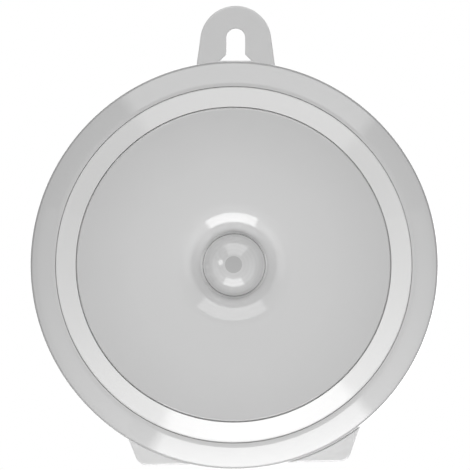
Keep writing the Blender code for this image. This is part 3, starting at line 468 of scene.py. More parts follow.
def arc(x, d, radius, start, end, steps, height=None):
    """Points of an arc whose angles are tilts away from the light's axis; a height squashes it."""
    rise = radius if height is None else height
    return [(x + radius * math.sin(t), d + rise * math.cos(t)) for t in spread(start, end, steps)]


def add_turned(bm, profile, steps, closed=True):
    """Spin a profile of (radius, depth) points about the light's axis."""
    verts = [bm.verts.new((r, -d, 0)) for r, d in profile]
    edges = [bm.edges.new(pair) for pair in zip(verts, verts[1:])]
    if closed:
        edges.append(bm.edges.new((verts[-1], verts[0])))
    bmesh.ops.spin(bm, geom=verts + edges, cent=(0, 0, 0), axis=AXIS, angle=math.tau, steps=steps,
                   use_merge=True, use_duplicate=False)
    bmesh.ops.remove_doubles(bm, verts=bm.verts, dist=MERGE)
    bmesh.ops.recalc_face_normals(bm, faces=bm.faces)


def add_block(bm, x, z, half_x, half_z, low_d, high_d):
    """A box by its middle in the wall's plane, its half sizes and its two depths."""
    size = (half_x * 2, high_d - low_d, half_z * 2)
    where = Matrix.Translation((x, -(low_d + high_d) / 2, z)) @ Matrix.Diagonal((*size, 1))
    bmesh.ops.create_cube(bm, size=1, matrix=where)


def add_rod(bm, x, z, radius, low_d, high_d, segments):
    """A cylinder that stands out from the wall."""
    where = Matrix.Translation((x, -(low_d + high_d) / 2, z)) @ Matrix.Rotation(UPRIGHT, 4, "X")
    bmesh.ops.create_cone(bm, cap_ends=True, segments=segments, radius1=radius, radius2=radius,
                          depth=high_d - low_d, matrix=where)


def add_sheet(bm, outline, low_d, high_d):
    """A flat outline of (x, z) points between two depths."""
    face = bm.faces.new([bm.verts.new((x, -low_d, z)) for x, z in outline])
    grown = bmesh.ops.extrude_face_region(bm, geom=[face])["geom"]
    verts = [v for v in grown if isinstance(v, bmesh.types.BMVert)]
    bmesh.ops.translate(bm, verts=verts, vec=(0, low_d - high_d, 0))
    bmesh.ops.recalc_face_normals(bm, faces=bm.faces)


def soften(bm, width, segments=EDGE_SEGMENTS, wanted=None):
    """Round the sharp edges, or those of them that pass a test."""
    edges = [e for e in bm.edges if e.is_manifold and e.calc_face_angle(0) > SHARP]
    edges = [e for e in edges if wanted is None or wanted(e)]
    if edges and width > 0:
        bmesh.ops.bevel(bm, geom=edges, offset=width, offset_type="OFFSET", segments=segments,
                        profile=0.5, affect="EDGES", clamp_overlap=False, material=-1)


def at_depth(edge, depth):
    return all(abs(v.co.y + depth) < DEPTH_SLACK for v in edge.verts)


def mesh_of(name, build, *args):
    """Run build on a new bmesh and keep the result as a mesh."""
    bm = bmesh.new()
    build(bm, *args)
    mesh = bpy.data.meshes.new(name)
    bm.to_mesh(mesh)
    bm.free()
    return mesh


def reshaped(mesh, change, *args):
    """Run a change on a mesh through a bmesh."""
    bm = bmesh.new()
    bm.from_mesh(mesh)
    change(bm, *args)
    bm.to_mesh(mesh)
    bm.free()
    return mesh


def added(name, data):
    """A new object in the scene."""
    obj = bpy.data.objects.new(name, data)
    bpy.context.scene.collection.objects.link(obj)
    return obj


def shown_mesh(obj):
    """An object's mesh as its modifiers or its curve settings shape it."""
    bpy.context.view_layer.update()
    return bpy.data.meshes.new_from_object(obj.evaluated_get(bpy.context.evaluated_depsgraph_get()))


def carved(mesh, operation, *others):
    """The mesh with the others joined to it or cut from it, one after another."""
    base, *helpers = [added(other.name, other) for other in (mesh, *others)]
    for helper in helpers:
        boolean = base.modifiers.new(helper.name, "BOOLEAN")
        boolean.operation = operation
        boolean.solver = "EXACT"
        boolean.object = helper
    result = shown_mesh(base)
    result.name = mesh.name
    for helper in (base, *helpers):
        bpy.data.objects.remove(helper)
    return result


def rod_mesh(name, x, z, radius, low_d, high_d, segments):
    return mesh_of(name, add_rod, x, z, radius, low_d, high_d, segments)


def block_mesh(name, x, z, half_x, half_z, low_d, high_d):
    return mesh_of(name, add_block, x, z, half_x, half_z, low_d, high_d)


def merged_copy(node):
    """A copy of a node's mesh with its triangles joined up again."""
    def tidy(bm):
        bmesh.ops.remove_doubles(bm, verts=bm.verts, dist=MERGE)
        bmesh.ops.dissolve_limit(bm, angle_limit=FLAT, verts=bm.verts, edges=bm.edges)

    mesh = nodes[node].data.copy()
    mesh.name = node
    return reshaped(mesh, tidy)


def finished(node, mesh, *materials, body="light", weighted=True):
    """Put a new piece in the place of a node and give it its materials."""
    name = f"{node}_finished"
    mesh.name = name
    mesh.materials.clear()
    for material in materials:
        mesh.materials.append(material)
    mesh.shade_smooth()
    mesh.set_sharp_from_angle(angle=SMOOTH)
    piece = added(name, mesh)
    if weighted:
        normals = piece.modifiers.new("normals", "WEIGHTED_NORMAL")
        normals.keep_sharp = True
    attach(piece, body)
    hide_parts(node)


def dress(material, *names):
    """Give nodes that are shown as they are their material."""
    for name in names:
        for slot in nodes[name].material_slots:
            slot.material = material


def numbered(stem):
    """The nodes of a numbered set, in order."""
    names = (f"{stem}_{i}" for i in range(1, len(nodes) + 1))
    return [name for name in names if name in nodes]


# Materials


def feed(tree, target, value):
    """Link a socket to another one, or set it to a value."""
    if isinstance(value, bpy.types.NodeSocket):
        tree.links.new(value, target)
    else:
        target.default_value = value


def add_node(tree, kind, inputs=None, **values):
    """Add a node to a tree, with its own values and then its inputs."""
    made = tree.nodes.new(kind)
    for name, value in values.items():
        setattr(made, name, value)
    for socket, value in (inputs or {}).items():
        feed(tree, made.inputs[socket], value)
    return made


def opaque(tone):
    """A colour with its alpha, or a socket as it is."""
    return tone if isinstance(tone, bpy.types.NodeSocket) else (*tone, 1)


def shade(value, factor):
    return tuple(min(1.0, c * factor) for c in value)


class Mixer:
    """Builds the node tree of one material."""

    def __init__(self, name):
        self.material = bpy.data.materials.new(name)
        self.material.use_nodes = True
        self.tree = self.material.node_tree
        self.shader = self.tree.nodes["Principled BSDF"]
        self.surface = self.tree.nodes["Material Output"].inputs["Surface"]
        self.where = self.node("ShaderNodeTexCoord").outputs["Object"]

    def node(self, kind, inputs=None, **values):
        return add_node(self.tree, kind, inputs, **values)

    def set(self, **values):
        """Feed the shader's own sockets, by their names with underscores."""
        for name, value in values.items():
            feed(self.tree, self.shader.inputs[name.replace("_", " ")], value)

    def noise(self, scale, detail=2.0, source=None):
        """A cloudy pattern between 0 and 1, so many times a metre."""
        return self.node("ShaderNodeTexNoise", {"Scale": scale, "Detail": detail,
                                                "Vector": source or self.where}).outputs["Fac"]

    def ranged(self, source, low, high, start=0.0, end=1.0):
        """Spread a value from one range over another."""
        return self.node("ShaderNodeMapRange", {"Value": source, "From Min": start, "From Max": end,
                                                "To Min": low, "To Max": high}).outputs["Result"]

    def blend(self, source, first, second):
        """Mix two colours by a value."""
        return self.node("ShaderNodeMix", {"Factor": source, "A": opaque(first), "B": opaque(second)},
                         data_type="RGBA").outputs["Result"]

    def maths(self, operation, *values):
        return self.node("ShaderNodeMath", dict(enumerate(values)), operation=operation).outputs[0]

    def from_axis(self):
        """Distance from the light's axis, in metres."""
        parts = self.node("ShaderNodeSeparateXYZ", {0: self.where}).outputs
        squares = [self.maths("MULTIPLY", parts[k], parts[k]) for k in ("X", "Z")]
        return self.maths("SQRT", self.maths("ADD", *squares))

    def bump(self, height, distance, before=None):
        """Raise the surface by a height between 0 and 1 times a distance in metres."""
        inputs = {"Distance": distance, "Height": height}
        if before:
            inputs["Normal"] = before
        return self.node("ShaderNodeBump", inputs).outputs["Normal"]


# How fine the patterns in a plastic's skin are, in clouds a metre, and how much its gloss varies
FLOW_SCALE = 45
SWELL_SCALE = 150
GLOSS_SCALE = 260
GRAIN_SCALE = 1600
GLOSS_SPREAD = 0.03


def moulded(name, tone, roughness, skin=0.0, skin_roughness=0.05, grain=0.000004, mottle=0.012):
    """Moulded plastic: a faint flow pattern in its tone and gloss, and a fine skin texture."""
    mix = Mixer(name)
    flow = mix.noise(FLOW_SCALE, detail=3)
    gloss = mix.ranged(mix.noise(GLOSS_SCALE, detail=3), roughness - GLOSS_SPREAD,
                       roughness + GLOSS_SPREAD)
    swell = mix.bump(mix.noise(SWELL_SCALE, detail=1), grain * 2)
    mix.set(Base_Color=mix.blend(flow, shade(tone, 1 - mottle), shade(tone, 1 + mottle)),
            Roughness=gloss, Normal=mix.bump(mix.noise(GRAIN_SCALE), grain, before=swell))
    if skin:
        mix.set(Specular_IOR_Level=light_settings().finishes.body_specular, Coat_Weight=1.0,
                Coat_IOR=skin, Coat_Roughness=skin_roughness)
    return mix


# Drawn streaks and clouds in a plated surface, in clouds a metre, how thin a streak is, how far it
# stands up, and how much both vary the gloss and the tone
STREAK_SCALE = 420
CLOUD_SCALE = 300
STREAK_STRETCH = 6
STREAK_HEIGHT = 0.000004
STREAK_GLOSS = (-0.07, 0.09)
CLOUD_TONES = (0.86, 1.06)


def plated(name, tone, roughness, streak=STREAK_SCALE):
    """Plated sheet or wire: fine drawn streaks and small clouds in its gloss."""
    mix = Mixer(name)
    stretch = mix.node("ShaderNodeMapping", {"Scale": (1, 1, STREAK_STRETCH), "Vector": mix.where})
    lines = mix.noise(streak, detail=3, source=stretch.outputs["Vector"])
    tones = [shade(tone, factor) for factor in CLOUD_TONES]
    mix.set(Base_Color=mix.blend(mix.noise(CLOUD_SCALE, detail=3), *tones),
            Roughness=mix.ranged(lines, *(roughness + shift for shift in STREAK_GLOSS)),
            Normal=mix.bump(lines, STREAK_HEIGHT), Metallic=1.0)
    return mix


# The cover is painted pale up to a share of its radius, as painted light against the shade of the
# throat, and takes falling multiples of its own colour at the next shares, as painted shade towards its
# rim;
# clouds, so many a metre, sway these places
PAINTED_LIGHT_SHARE = 0.20
COVER_PAINTED_SHADE = ((0.27, 1.21), (0.64, 1.14), (1.0, 1.0))
COVER_CLOUDS = 70
COVER_SWAY = 0.05


def cover_plastic(look):
    """Gloss plastic painted paler around the lens and darker towards the rim: painted light and shade.
    """
    mix = moulded("cover_finish", look.cover, look.body_gloss, look.skin_ior)
    across = mix.maths("ADD", mix.ranged(mix.from_axis(), 0.0, 1.0, 0.0, reach("front_cover")),
                       mix.ranged(mix.noise(COVER_CLOUDS, detail=3), -COVER_SWAY, COVER_SWAY))
    # Painted light and shade: pale around the lens, falling towards the rim
    ramp = mix.node("ShaderNodeValToRGB", {0: across})
    stops = ramp.color_ramp.elements
    tones = [(PAINTED_LIGHT_SHARE, look.cover_painted_light)]
    tones += [(place, shade(look.cover, factor)) for place, factor in COVER_PAINTED_SHADE]
    while len(stops) < len(tones):
        stops.new(0.5)
    for stop, (place, tone) in zip(stops, tones):
        stop.position = place
        stop.color = opaque(tone)
    mix.set(Base_Color=ramp.outputs["Color"])
    return mix


# The rings behind the dome, the blur around its flat spot, and where, in shares of its radius, and how
# much
# its rim is painted lighter: painted light against the shade of the crevice around the dome
RING_SCALE = 260
RING_CONTRAST = 0.015
SPOT_BLUR = 0.00006
PAINTED_RIM_START, PAINTED_RIM_END = 0.92, 0.985
PAINTED_RIM_TONE = 1.3


def lens_plastic(look):
    """Milky plastic with faint rings of the pattern behind it: darker flat spot, painted light at its
    rim.
    """
    mix = moulded("lens_finish", look.lens, look.body_gloss, look.lens_ior, look.gloss,
                  grain=0.000003)
    radius = mix.from_axis()
    lens = light_settings().lens
    edge = lens.facet_radius
    outside = mix.ranged(radius, 0.0, 1.0, edge - SPOT_BLUR, edge + SPOT_BLUR)
    rings = mix.node("ShaderNodeTexWave", {"Scale": RING_SCALE, "Vector": mix.where},
                     wave_type="RINGS", rings_direction="Y", wave_profile="SIN")
    body = mix.blend(rings.outputs["Fac"], shade(look.lens, 1 - RING_CONTRAST),
                     shade(look.lens, 1 + RING_CONTRAST))
    # Painted light: the dome is paler towards its rim, to lift the shade of the crevice around it
    painted_rim = mix.ranged(radius, 0.0, 1.0, PAINTED_RIM_START * lens.radius, PAINTED_RIM_END * lens.radius)
    body = mix.blend(painted_rim, body, shade(look.lens, PAINTED_RIM_TONE))
    mix.set(Base_Color=mix.blend(outside, look.facet, body))
    return mix


# The board's tracks: how many a metre, how much paler they are, and how far they stand up
TRACK_SCALE = 190
PAD_TONE, TRACK_TONE = 1.12, 1.9
TRACK_HEIGHT = 0.00003


def board_finish(look):
    """Solder mask over tracks that show as faint raised lines."""
    mix = moulded("board_mask", look.mask, 0.34, skin=1.4, skin_roughness=0.12, mottle=0.05)
    turn = mix.node("ShaderNodeMapping", {"Rotation": (UPRIGHT, 0, 0), "Vector": mix.where})
    tracks = mix.node("ShaderNodeTexBrick", {
        "Vector": turn.outputs["Vector"], "Scale": TRACK_SCALE, "Mortar Size": 0.03,
        "Color1": opaque(look.mask), "Color2": opaque(shade(look.mask, PAD_TONE)),
        "Mortar": opaque(shade(look.mask, TRACK_TONE))})
    mix.set(Base_Color=tracks.outputs["Color"], Normal=mix.bump(tracks.outputs["Fac"], TRACK_HEIGHT))
    return mix


def make_finishes(look):
    """Every material of the light, by a plain name."""
    gloss, body = look.gloss, look.body_gloss
    mixes = {
        "housing": moulded("housing_finish", look.housing, body, look.skin_ior, gloss),
        "cover": cover_plastic(look),
        "back": moulded("back_finish", look.back, look.satin, look.skin_ior, skin_roughness=0.22,
                        grain=0.000012),
        "ring": moulded("ring_finish", look.opal, body, look.ring_ior, gloss, grain=0.000003,
                        mottle=0.006),
        "lens": lens_plastic(look),
        "reflector": moulded("reflector_finish", look.reflector, 0.35),
        "tray": moulded("tray_finish", look.tray, 0.42, grain=0.00001),
        "black": moulded("black_finish", look.black, 0.38, grain=0.00001, mottle=0.06),
        "filter": moulded("filter_finish", look.filter, 0.08, grain=0.000001, mottle=0.05),
        "board": board_finish(look),
        "phosphor": moulded("phosphor_resin", look.phosphor, 0.30, skin=1.5, skin_roughness=0.08,
                            grain=0.00001, mottle=0.05),
        "steel": plated("zinc_steel", look.steel, 0.30),
        "nickel": plated("nickel_plate", look.nickel, 0.26, streak=700),
        "sleeve": moulded("cell_sleeve", look.sleeve, 0.28, skin=1.5, skin_roughness=0.1,
                          grain=0.000006, mottle=0.0),
        "lead": moulded("lead_insulation", look.lead, 0.40, grain=0.000006, mottle=0.05),
    }
    return {name: mix.material for name, mix in mixes.items()}


FINISH = {}


# The pieces


def ready():
    """The light's settings, once its finishes are made."""
    light = light_settings()
    if not FINISH:
        FINISH.update(make_finishes(light.finishes))
    return light


# Steps around the round forms and along the arcs, and how finely a wire is rounded
BOSS_STEPS = 40
HOLE_STEPS = 32
POST_STEPS = 48
DISH_STEPS = 96
TAB_STEPS = 56
BLEND_STEPS = 10
EDGE_STEPS = 8
SMALL_STEPS = 6
TINY_STEPS = 4
UNDER_STEPS = 12
THROAT_STEPS = 16
FINE_STEPS = 40
HOLLOW_STEPS = 24
FRONT_SEGMENTS = 4
SMALL_SEGMENTS = 2
WIRE_RESOLUTION = 4


class LIGHT_OT_housing(bpy.types.Operator):
    """Turn the round housing: shoulder, flank, rounded corner and side wall"""

    bl_idname = "wall_light.housing"
    bl_label = "Housing"

    def execute(self, context):
        light = ready()
        d = Depths(light)
        casing = light.casing
        inner_r = casing.flank_radius - casing.wall
        under_r = d.step_r + casing.wall
        under_tilt = math.asin((under_r - d.flank_x) / inner_r)
        profile = [(d.step_r, d.shoulder_d)]
        profile += arc(d.flank_x, d.flank_d, casing.flank_radius, casing.flank_top_tilt,
                       casing.flank_low_tilt, BLEND_STEPS)
        profile += arc(d.corner_x, d.corner_d, casing.corner_radius, casing.flank_low_tilt,
                       UPRIGHT, BLEND_STEPS)[1:]
        profile += [(d.body_r, d.low_d), (d.housing_in_r, d.low_d)]
        profile += arc(d.flank_x, d.flank_d, inner_r, casing.flank_low_tilt, under_tilt,
                       SMALL_STEPS)
        profile += [(under_r, d.lip_low_d), (d.lip_r, d.lip_low_d), (d.lip_r, d.lip_top_d),
                    (d.step_r, d.lip_top_d)]
        mesh = mesh_of("housing", add_turned, profile, casing.turn_steps)
        reshaped(mesh, soften, casing.edge_break)
        finished("housing", mesh, FINISH["housing"])
        return {"FINISHED"}


class LIGHT_OT_ring(bpy.types.Operator):
    """Turn the sloping light ring with its foot and its flange"""

    bl_idname = "wall_light.ring"
    bl_label = "Light ring"

    def execute(self, context):
        light = ready()
        d = Depths(light)
        casing = light.casing
        slope = math.tan(casing.ring_tilt)
        edge_r = d.cover_r + casing.seam
        foot_r = d.ring_out_r - casing.ring_foot
        under_d = d.ring_top_d - casing.ring_wall
        edge_d = d.ring_top_d + (d.ring_in_r - edge_r) * slope
        profile = [(edge_r, edge_d), (d.ring_out_r, d.ring_low_d), (d.ring_out_r, d.ring_foot_d),
                   (foot_r, d.ring_foot_d),
                   (foot_r, under_d - (foot_r - d.ring_in_r) * slope),
                   (d.ring_in_r + (under_d - d.flange_low_d) / slope, d.flange_low_d),
                   (d.flange_r, d.flange_low_d), (d.flange_r, d.flange_top_d),
                   (edge_r, d.flange_top_d)]
        mesh = mesh_of("light_ring", add_turned, profile, casing.turn_steps)
        reshaped(mesh, soften, casing.edge_break)
        finished("light_ring", mesh, FINISH["ring"])
        return {"FINISHED"}


class LIGHT_OT_cover(bpy.types.Operator):
    """Turn the crowned cover, which dips through a bullnose into the lens's throat"""

    bl_idname = "wall_light.cover"
    bl_label = "Front cover"

    def execute(self, context):
        light = ready()
        d = Depths(light)
        casing, plate = light.casing, light.plate
        crown = (casing.crown_place, d.crown_d)
        nose = (d.bullnose_x, d.throat_d)
        under_r = casing.crown_radius - casing.wall
        skirt_in_r = d.skirt_r - casing.skirt_thickness
        skirt_low_d = d.cover_low_d - casing.skirt_height
        skirt_tilt = math.asin((skirt_in_r - casing.crown_place) / under_r)
        profile = arc(*crown, casing.crown_radius, 0, d.outer_tilt, BLEND_STEPS)
        profile += arc(d.edge_x, d.edge_d, casing.cover_edge_radius, d.outer_tilt, UPRIGHT,
                       EDGE_STEPS)[1:]
        profile += [(d.cover_r, d.cover_low_d), (d.skirt_r, d.cover_low_d),
                    (d.skirt_r, skirt_low_d), (skirt_in_r, skirt_low_d)]
        profile += arc(*crown, under_r, skirt_tilt, -d.inner_tilt, UNDER_STEPS)
        profile += arc(*nose, d.bullnose_r - casing.wall, -d.inner_tilt, -UPRIGHT,
                       THROAT_STEPS)[1:]
        lip_r = light.lens.radius + casing.throat_gap
        lip_tilt = math.acos(casing.throat_slope / d.bullnose_r)
        profile += [(lip_r, d.throat_d), (lip_r, d.throat_d + casing.throat_lip)]
        profile += arc(*nose, d.bullnose_r, -lip_tilt, -d.inner_tilt, FINE_STEPS)
        profile += arc(*crown, casing.crown_radius, -d.inner_tilt, 0, TINY_STEPS)[1:-1]
        mesh = mesh_of("front_cover", add_turned, profile, casing.turn_steps)
        screws = light.screws
        tip_d = front("housing_screw_1")
        bosses, holes = [], []
        for x, z in post_places(plate):
            bosses.append(rod_mesh("boss", x, z, casing.boss_radius, d.part_d, d.peak_d - casing.wall,
                                   BOSS_STEPS))
            holes.append(rod_mesh("hole", x, z, screws.radius + casing.gap, d.part_d - casing.wall,
                                  tip_d + casing.gap, BOSS_STEPS))
        mesh = carved(mesh, "UNION", *bosses)
        mesh = carved(mesh, "DIFFERENCE", *holes)
        finished("front_cover", mesh, FINISH["cover"])
        return {"FINISHED"}


class LIGHT_OT_lens(bpy.types.Operator):
    """Turn the sensor's hollow dome with its flat facet, its flange and its three pegs"""

    bl_idname = "wall_light.lens"
    bl_label = "Sensor lens"

    def execute(self, context):
        light = ready()
        d = Depths(light)
        lens = light.lens
        inner_r = lens.radius - lens.wall
        facet_tilt = math.asin(lens.facet_radius / lens.radius)
        facet_d = d.lens_d + lens.radius * math.cos(facet_tilt)
        widest_d = d.lens_d + lens.rise
        height = (facet_d - widest_d) / math.cos(facet_tilt)
        profile = [(0, facet_d)]
        profile += arc(0, widest_d, lens.radius, facet_tilt, UPRIGHT, FINE_STEPS, height)
        profile += [(lens.radius, d.lens_d), (lens.flange_radius, d.lens_d),
                    (lens.flange_radius, d.part_d), (inner_r, d.part_d)]
        profile += arc(0, widest_d, inner_r, UPRIGHT, facet_tilt, HOLLOW_STEPS, height - lens.wall)
        profile += [(0, widest_d + (height - lens.wall) * math.cos(facet_tilt))]
        mesh = mesh_of("pir_lens", add_turned, profile, lens.turn_steps, False)
        reshaped(mesh, soften, lens.edge_break)
        peg_circle = (inner_r + lens.flange_radius) / 2
        pegs = []
        for i in range(lens.pegs):
            x, z = on_circle(peg_circle, UPRIGHT + math.tau * i / lens.pegs)
            pegs.append(rod_mesh("peg", x, z, lens.foot_radius, rear("pir_lens"),
                                 d.part_d + lens.flange_thickness / 2, HOLE_STEPS))
        finished("pir_lens", carved(mesh, "UNION", *pegs), FINISH["lens"])
        return {"FINISHED"}


def near_circle(start, direction, radius):
    """Where a straight line from outside first meets a circle about the middle."""
    x, z = start
    u, v = direction
    along = x * u + z * v
    run = -along - math.sqrt(along ** 2 - x ** 2 - z ** 2 + radius ** 2)
    return x + run * u, z + run * v


def fillet(corner, before, after, radius, steps):
    """Round a corner between the points before and after it."""
    corner, before, after = Vector(corner), Vector(before), Vector(after)
    into, out = (before - corner).normalized(), (after - corner).normalized()
    half = into.angle(out) / 2
    centre = corner + (into + out).normalized() * radius / math.sin(half)
    first = corner + into * radius / math.tan(half) - centre
    last = corner + out * radius / math.tan(half) - centre
    return [tuple(centre + first.slerp(last, along).normalized() * radius)
            for along in spread(0, 1, steps)]


def root_blend(corner, side, splay, plate_r, radius, steps):
    """Blend a side of the foot into the round plate, from the straight part to the circle."""
    along = (side * math.sin(splay), math.cos(splay))
    out = Vector((side * math.cos(splay), -math.sin(splay)))
    centre = Vector(near_circle(tuple(Vector(corner) + out * radius), along, plate_r + radius))
    first, last = -out, -centre.normalized()
    return [tuple(centre + first.slerp(last, along) * radius) for along in spread(0, 1, steps)]


def rim_points(radius, start, end, full_steps):
    """Points of the plate's own edge between two places on it, anticlockwise."""
    first = math.atan2(start[1], start[0])
    turn = (math.atan2(end[1], end[0]) - first) % math.tau
    steps = max(1, round(full_steps * turn / math.tau))
    return [on_circle(radius, angle) for angle in spread(first, first + turn, steps)]


def plate_outline(plate, plate_r, full_steps):
    """The round plate with the hang tab above it and the foot below, anticlockwise from the foot."""
    taper = plate.tab_taper
    tab_z = plate_r + plate.tab_rise
    tangent = (plate.tab_radius * math.cos(taper), tab_z + plate.tab_radius * math.sin(taper))
    tab_root = near_circle(tangent, (math.sin(taper), -math.cos(taper)), plate_r)
    left_splay, right_splay = plate.foot_left_splay, plate.foot_right_splay
    left = on_circle(plate_r + plate.foot_left_reach, -UPRIGHT - plate.foot_left_angle)
    right = on_circle(plate_r + plate.foot_right_reach, -UPRIGHT + plate.foot_right_angle)
    left_root = root_blend(left, -1, left_splay, plate_r, plate.foot_root_radius, BLEND_STEPS)
    right_root = root_blend(right, 1, right_splay, plate_r, plate.foot_root_radius, BLEND_STEPS)
    points = fillet(right, left, right_root[0], plate.foot_corner_radius, BLEND_STEPS)
    points += right_root
    points += rim_points(plate_r, right_root[-1], tab_root, full_steps)[1:]
    for angle in spread(taper, math.pi - taper, TAB_STEPS):
        x, z = on_circle(plate.tab_radius, angle)
        points.append((x, tab_z + z))
    points += rim_points(plate_r, (-tab_root[0], tab_root[1]), left_root[-1], full_steps)[:-1]
    points += left_root[::-1]
    points += fillet(left, left_root[0], right, plate.foot_corner_radius, BLEND_STEPS)
    return points


def keyhole_outline(plate, body_r):
    """The slot in the tab: a round head, straight sides and a flared foot."""
    base = body_r + plate.slot_base_gap
    arch = base + plate.slot_height - plate.slot_half
    points = [(plate.flare_half, base), (plate.slot_half, base + plate.flare_height)]
    for angle in spread(0, math.pi, HOLE_STEPS):
        x, z = on_circle(plate.slot_half, angle)
        points.append((x, arch + z))
    points += [(-plate.slot_half, base + plate.flare_height), (-plate.flare_half, base)]
    return points


class LIGHT_OT_back_shell(bpy.types.Operator):
    """Build the back shell: plate, hang tab, foot, rim, posts, door opening and switch pocket"""

    bl_idname = "wall_light.back_shell"
    bl_label = "Back shell"

    def execute(self, context):
        light = ready()
        d = Depths(light)
        plate, back, gap = light.plate, light.back, light.casing.gap
        far = plate.tab_thickness * 2
        root_d = plate.thickness / 2
        pocket_top = back.pocket_depth + back.pocket_wall
        outline = plate_outline(plate, d.plate_r, light.casing.turn_steps)
        mesh = mesh_of("back_shell", add_sheet, outline, 0, plate.tab_thickness)
        seat_r = d.body_r + gap
        seat = rod_mesh("seat", 0, 0, seat_r, plate.thickness, far, light.casing.turn_steps)
        keyhole = mesh_of("keyhole", add_sheet, keyhole_outline(plate, d.body_r), -far, far)
        mesh = carved(mesh, "DIFFERENCE", keyhole)
        slot_low = d.body_r + plate.slot_base_gap - gap
        slot_high = d.body_r + plate.slot_base_gap + plate.slot_height + gap

        def on_slot(edge):
            return all(abs(v.co.x) < plate.flare_half + gap and slot_low < v.co.z < slot_high
                       for v in edge.verts)

        reshaped(mesh, soften, plate.slot_edge_radius, EDGE_SEGMENTS,
                 lambda e: on_slot(e) and (at_depth(e, 0) or at_depth(e, plate.tab_thickness)))
        reshaped(mesh, soften, plate.edge_radius, FRONT_SEGMENTS,
                 lambda e: not on_slot(e) and at_depth(e, plate.tab_thickness))
        reshaped(mesh, soften, plate.rear_edge_radius, EDGE_SEGMENTS,
                 lambda e: not on_slot(e) and at_depth(e, 0))
        mesh = carved(mesh, "DIFFERENCE", seat)
        rim_out_r = d.housing_in_r - plate.rim_gap
        rim_in_r = rim_out_r - plate.rim_thickness
        rim_top = plate.thickness + plate.rim_height
        rim = [(rim_out_r, rim_top), (rim_out_r, root_d), (rim_in_r, root_d), (rim_in_r, rim_top)]
        adds = [mesh_of("rim", add_turned, rim, light.casing.turn_steps),
                block_mesh("pocket_walls", 0, back.switch_y, back.pocket_width / 2 + back.pocket_wall,
                           back.pocket_height / 2 + back.pocket_wall, root_d, pocket_top)]
        cuts = [block_mesh("pocket", 0, back.switch_y, back.pocket_width / 2, back.pocket_height / 2,
                           -far, back.pocket_depth),
                block_mesh("stem_slot", 0, back.switch_y, back.stem_slot_half,
                           back.stem_height / 2 + gap, -far, pocket_top + gap)]
        tray_screw_r = light.screws.tray_radius + gap
        tray_tip_d = rear("tray_screw_1") - gap
        for side in (-1, 1):
            clip_x = side * (back.switch_width / 2 + gap + back.clip_thickness / 2)
            adds.append(block_mesh("clip", clip_x, back.switch_y, back.clip_thickness / 2,
                                   back.switch_height / 2, pocket_top - back.pocket_wall / 2,
                                   pocket_top + back.clip_height))
            boss_top = plate.thickness + plate.ear_boss_height
            adds.append(rod_mesh("tray_boss", side * plate.ear_x, plate.ear_y, plate.ear_boss_radius,
                                 root_d, boss_top, BOSS_STEPS))
            cuts.append(rod_mesh("tray_hole", side * plate.ear_x, plate.ear_y, tray_screw_r,
                                 tray_tip_d, boss_top + far, HOLE_STEPS))
        seat_d = rear("housing_screw_1") + light.screws.head_height + gap
        for x, z in post_places(plate):
            adds.append(rod_mesh("post", x, z, plate.post_radius, root_d, d.post_top_d, POST_STEPS))
            cuts.append(rod_mesh("head_hole", x, z, light.screws.head_radius + gap, -far, seat_d,
                                 POST_STEPS))
            cuts.append(rod_mesh("shank_hole", x, z, light.screws.radius + gap, -far,
                                 d.post_top_d + far, POST_STEPS))
        cuts.append(block_mesh("opening", 0, (back.opening_top + back.opening_low) / 2,
                               back.opening_half, (back.opening_top - back.opening_low) / 2, -far,
                               plate.thickness + gap))
        cuts.append(rod_mesh("thumb", 0, back.opening_low, back.thumb_radius, -far, back.thumb_depth,
                             DISH_STEPS))
        mesh = carved(mesh, "UNION", *adds)
        mesh = carved(mesh, "DIFFERENCE", *cuts)
        finished("back_shell", mesh, FINISH["back"])
        return {"FINISHED"}


class LIGHT_OT_door(bpy.types.Operator):
    """Build the battery door with its lugs, its latch tongue and its finger dish"""

    bl_idname = "wall_light.door"
    bl_label = "Battery door"

    def execute(self, context):
        light = ready()
        back, gap = light.back, light.casing.gap
        top, low = back.opening_top - gap, back.opening_low + gap
        in_d = back.door_inset + back.door_thickness
        root_d = back.door_inset + back.door_thickness / 2
        far = back.door_thickness * 2
        mesh = block_mesh("battery_door", 0, (top + low) / 2, back.opening_half - gap, (top - low) / 2,
                          back.door_inset, in_d)
        reshaped(mesh, soften, back.door_edge_radius)
        lug_low = light.plate.thickness + gap
        lug_top = lug_low + back.lug_thickness
        tip = back.opening_top + back.lug_reach
        adds, cuts = [], []
        for side in (-1, 1):
            x = side * back.lug_place
            root_low, root_top = top - back.lug_root, top - back.lug_root / 4
            adds.append(block_mesh("lug_root", x, (root_low + root_top) / 2, back.lug_width / 2,
                                   (root_top - root_low) / 2, root_d, lug_top))
            lug_foot = top - back.lug_root / 2
            adds.append(block_mesh("lug", x, (lug_foot + tip) / 2, back.lug_width / 2,
                                   (tip - lug_foot) / 2, lug_low, lug_top))
            cuts.append(block_mesh("slit", side * back.latch_width / 2, low, back.latch_slit / 2,
                                   back.latch_depth, -far, in_d + far))
        nib = low + back.nib_inset + back.nib_thickness / 2
        adds.append(block_mesh("nib", 0, nib, back.latch_width / 4, back.nib_thickness / 2, root_d,
                               in_d + back.nib_height))
        dish_z = low + back.latch_depth + back.dish_radius
        cuts.append(rod_mesh("dish", 0, dish_z, back.dish_radius, -far,
                             back.door_inset + back.dish_depth, DISH_STEPS))
        mesh = carved(mesh, "UNION", *adds)
        mesh = carved(mesh, "DIFFERENCE", *cuts)
        finished("battery_door", mesh, FINISH["back"], body="battery_door")
        return {"FINISHED"}


class LIGHT_OT_switch(bpy.types.Operator):
    """Soften the switch's knob and body, and finish its leads"""

    bl_idname = "wall_light.switch"
    bl_label = "Switch"

    def execute(self, context):
        back = ready().back
        for name, radius, body in (("mode_knob", back.knob_edge_radius, "mode_knob"),
                                   ("switch_body", back.body_edge_radius, "light")):
            mesh = reshaped(merged_copy(name), soften, radius, SMALL_SEGMENTS)
            finished(name, mesh, FINISH["black"], body=body)
        dress(FINISH["lead"], *numbered("switch_lead"))
        return {"FINISHED"}


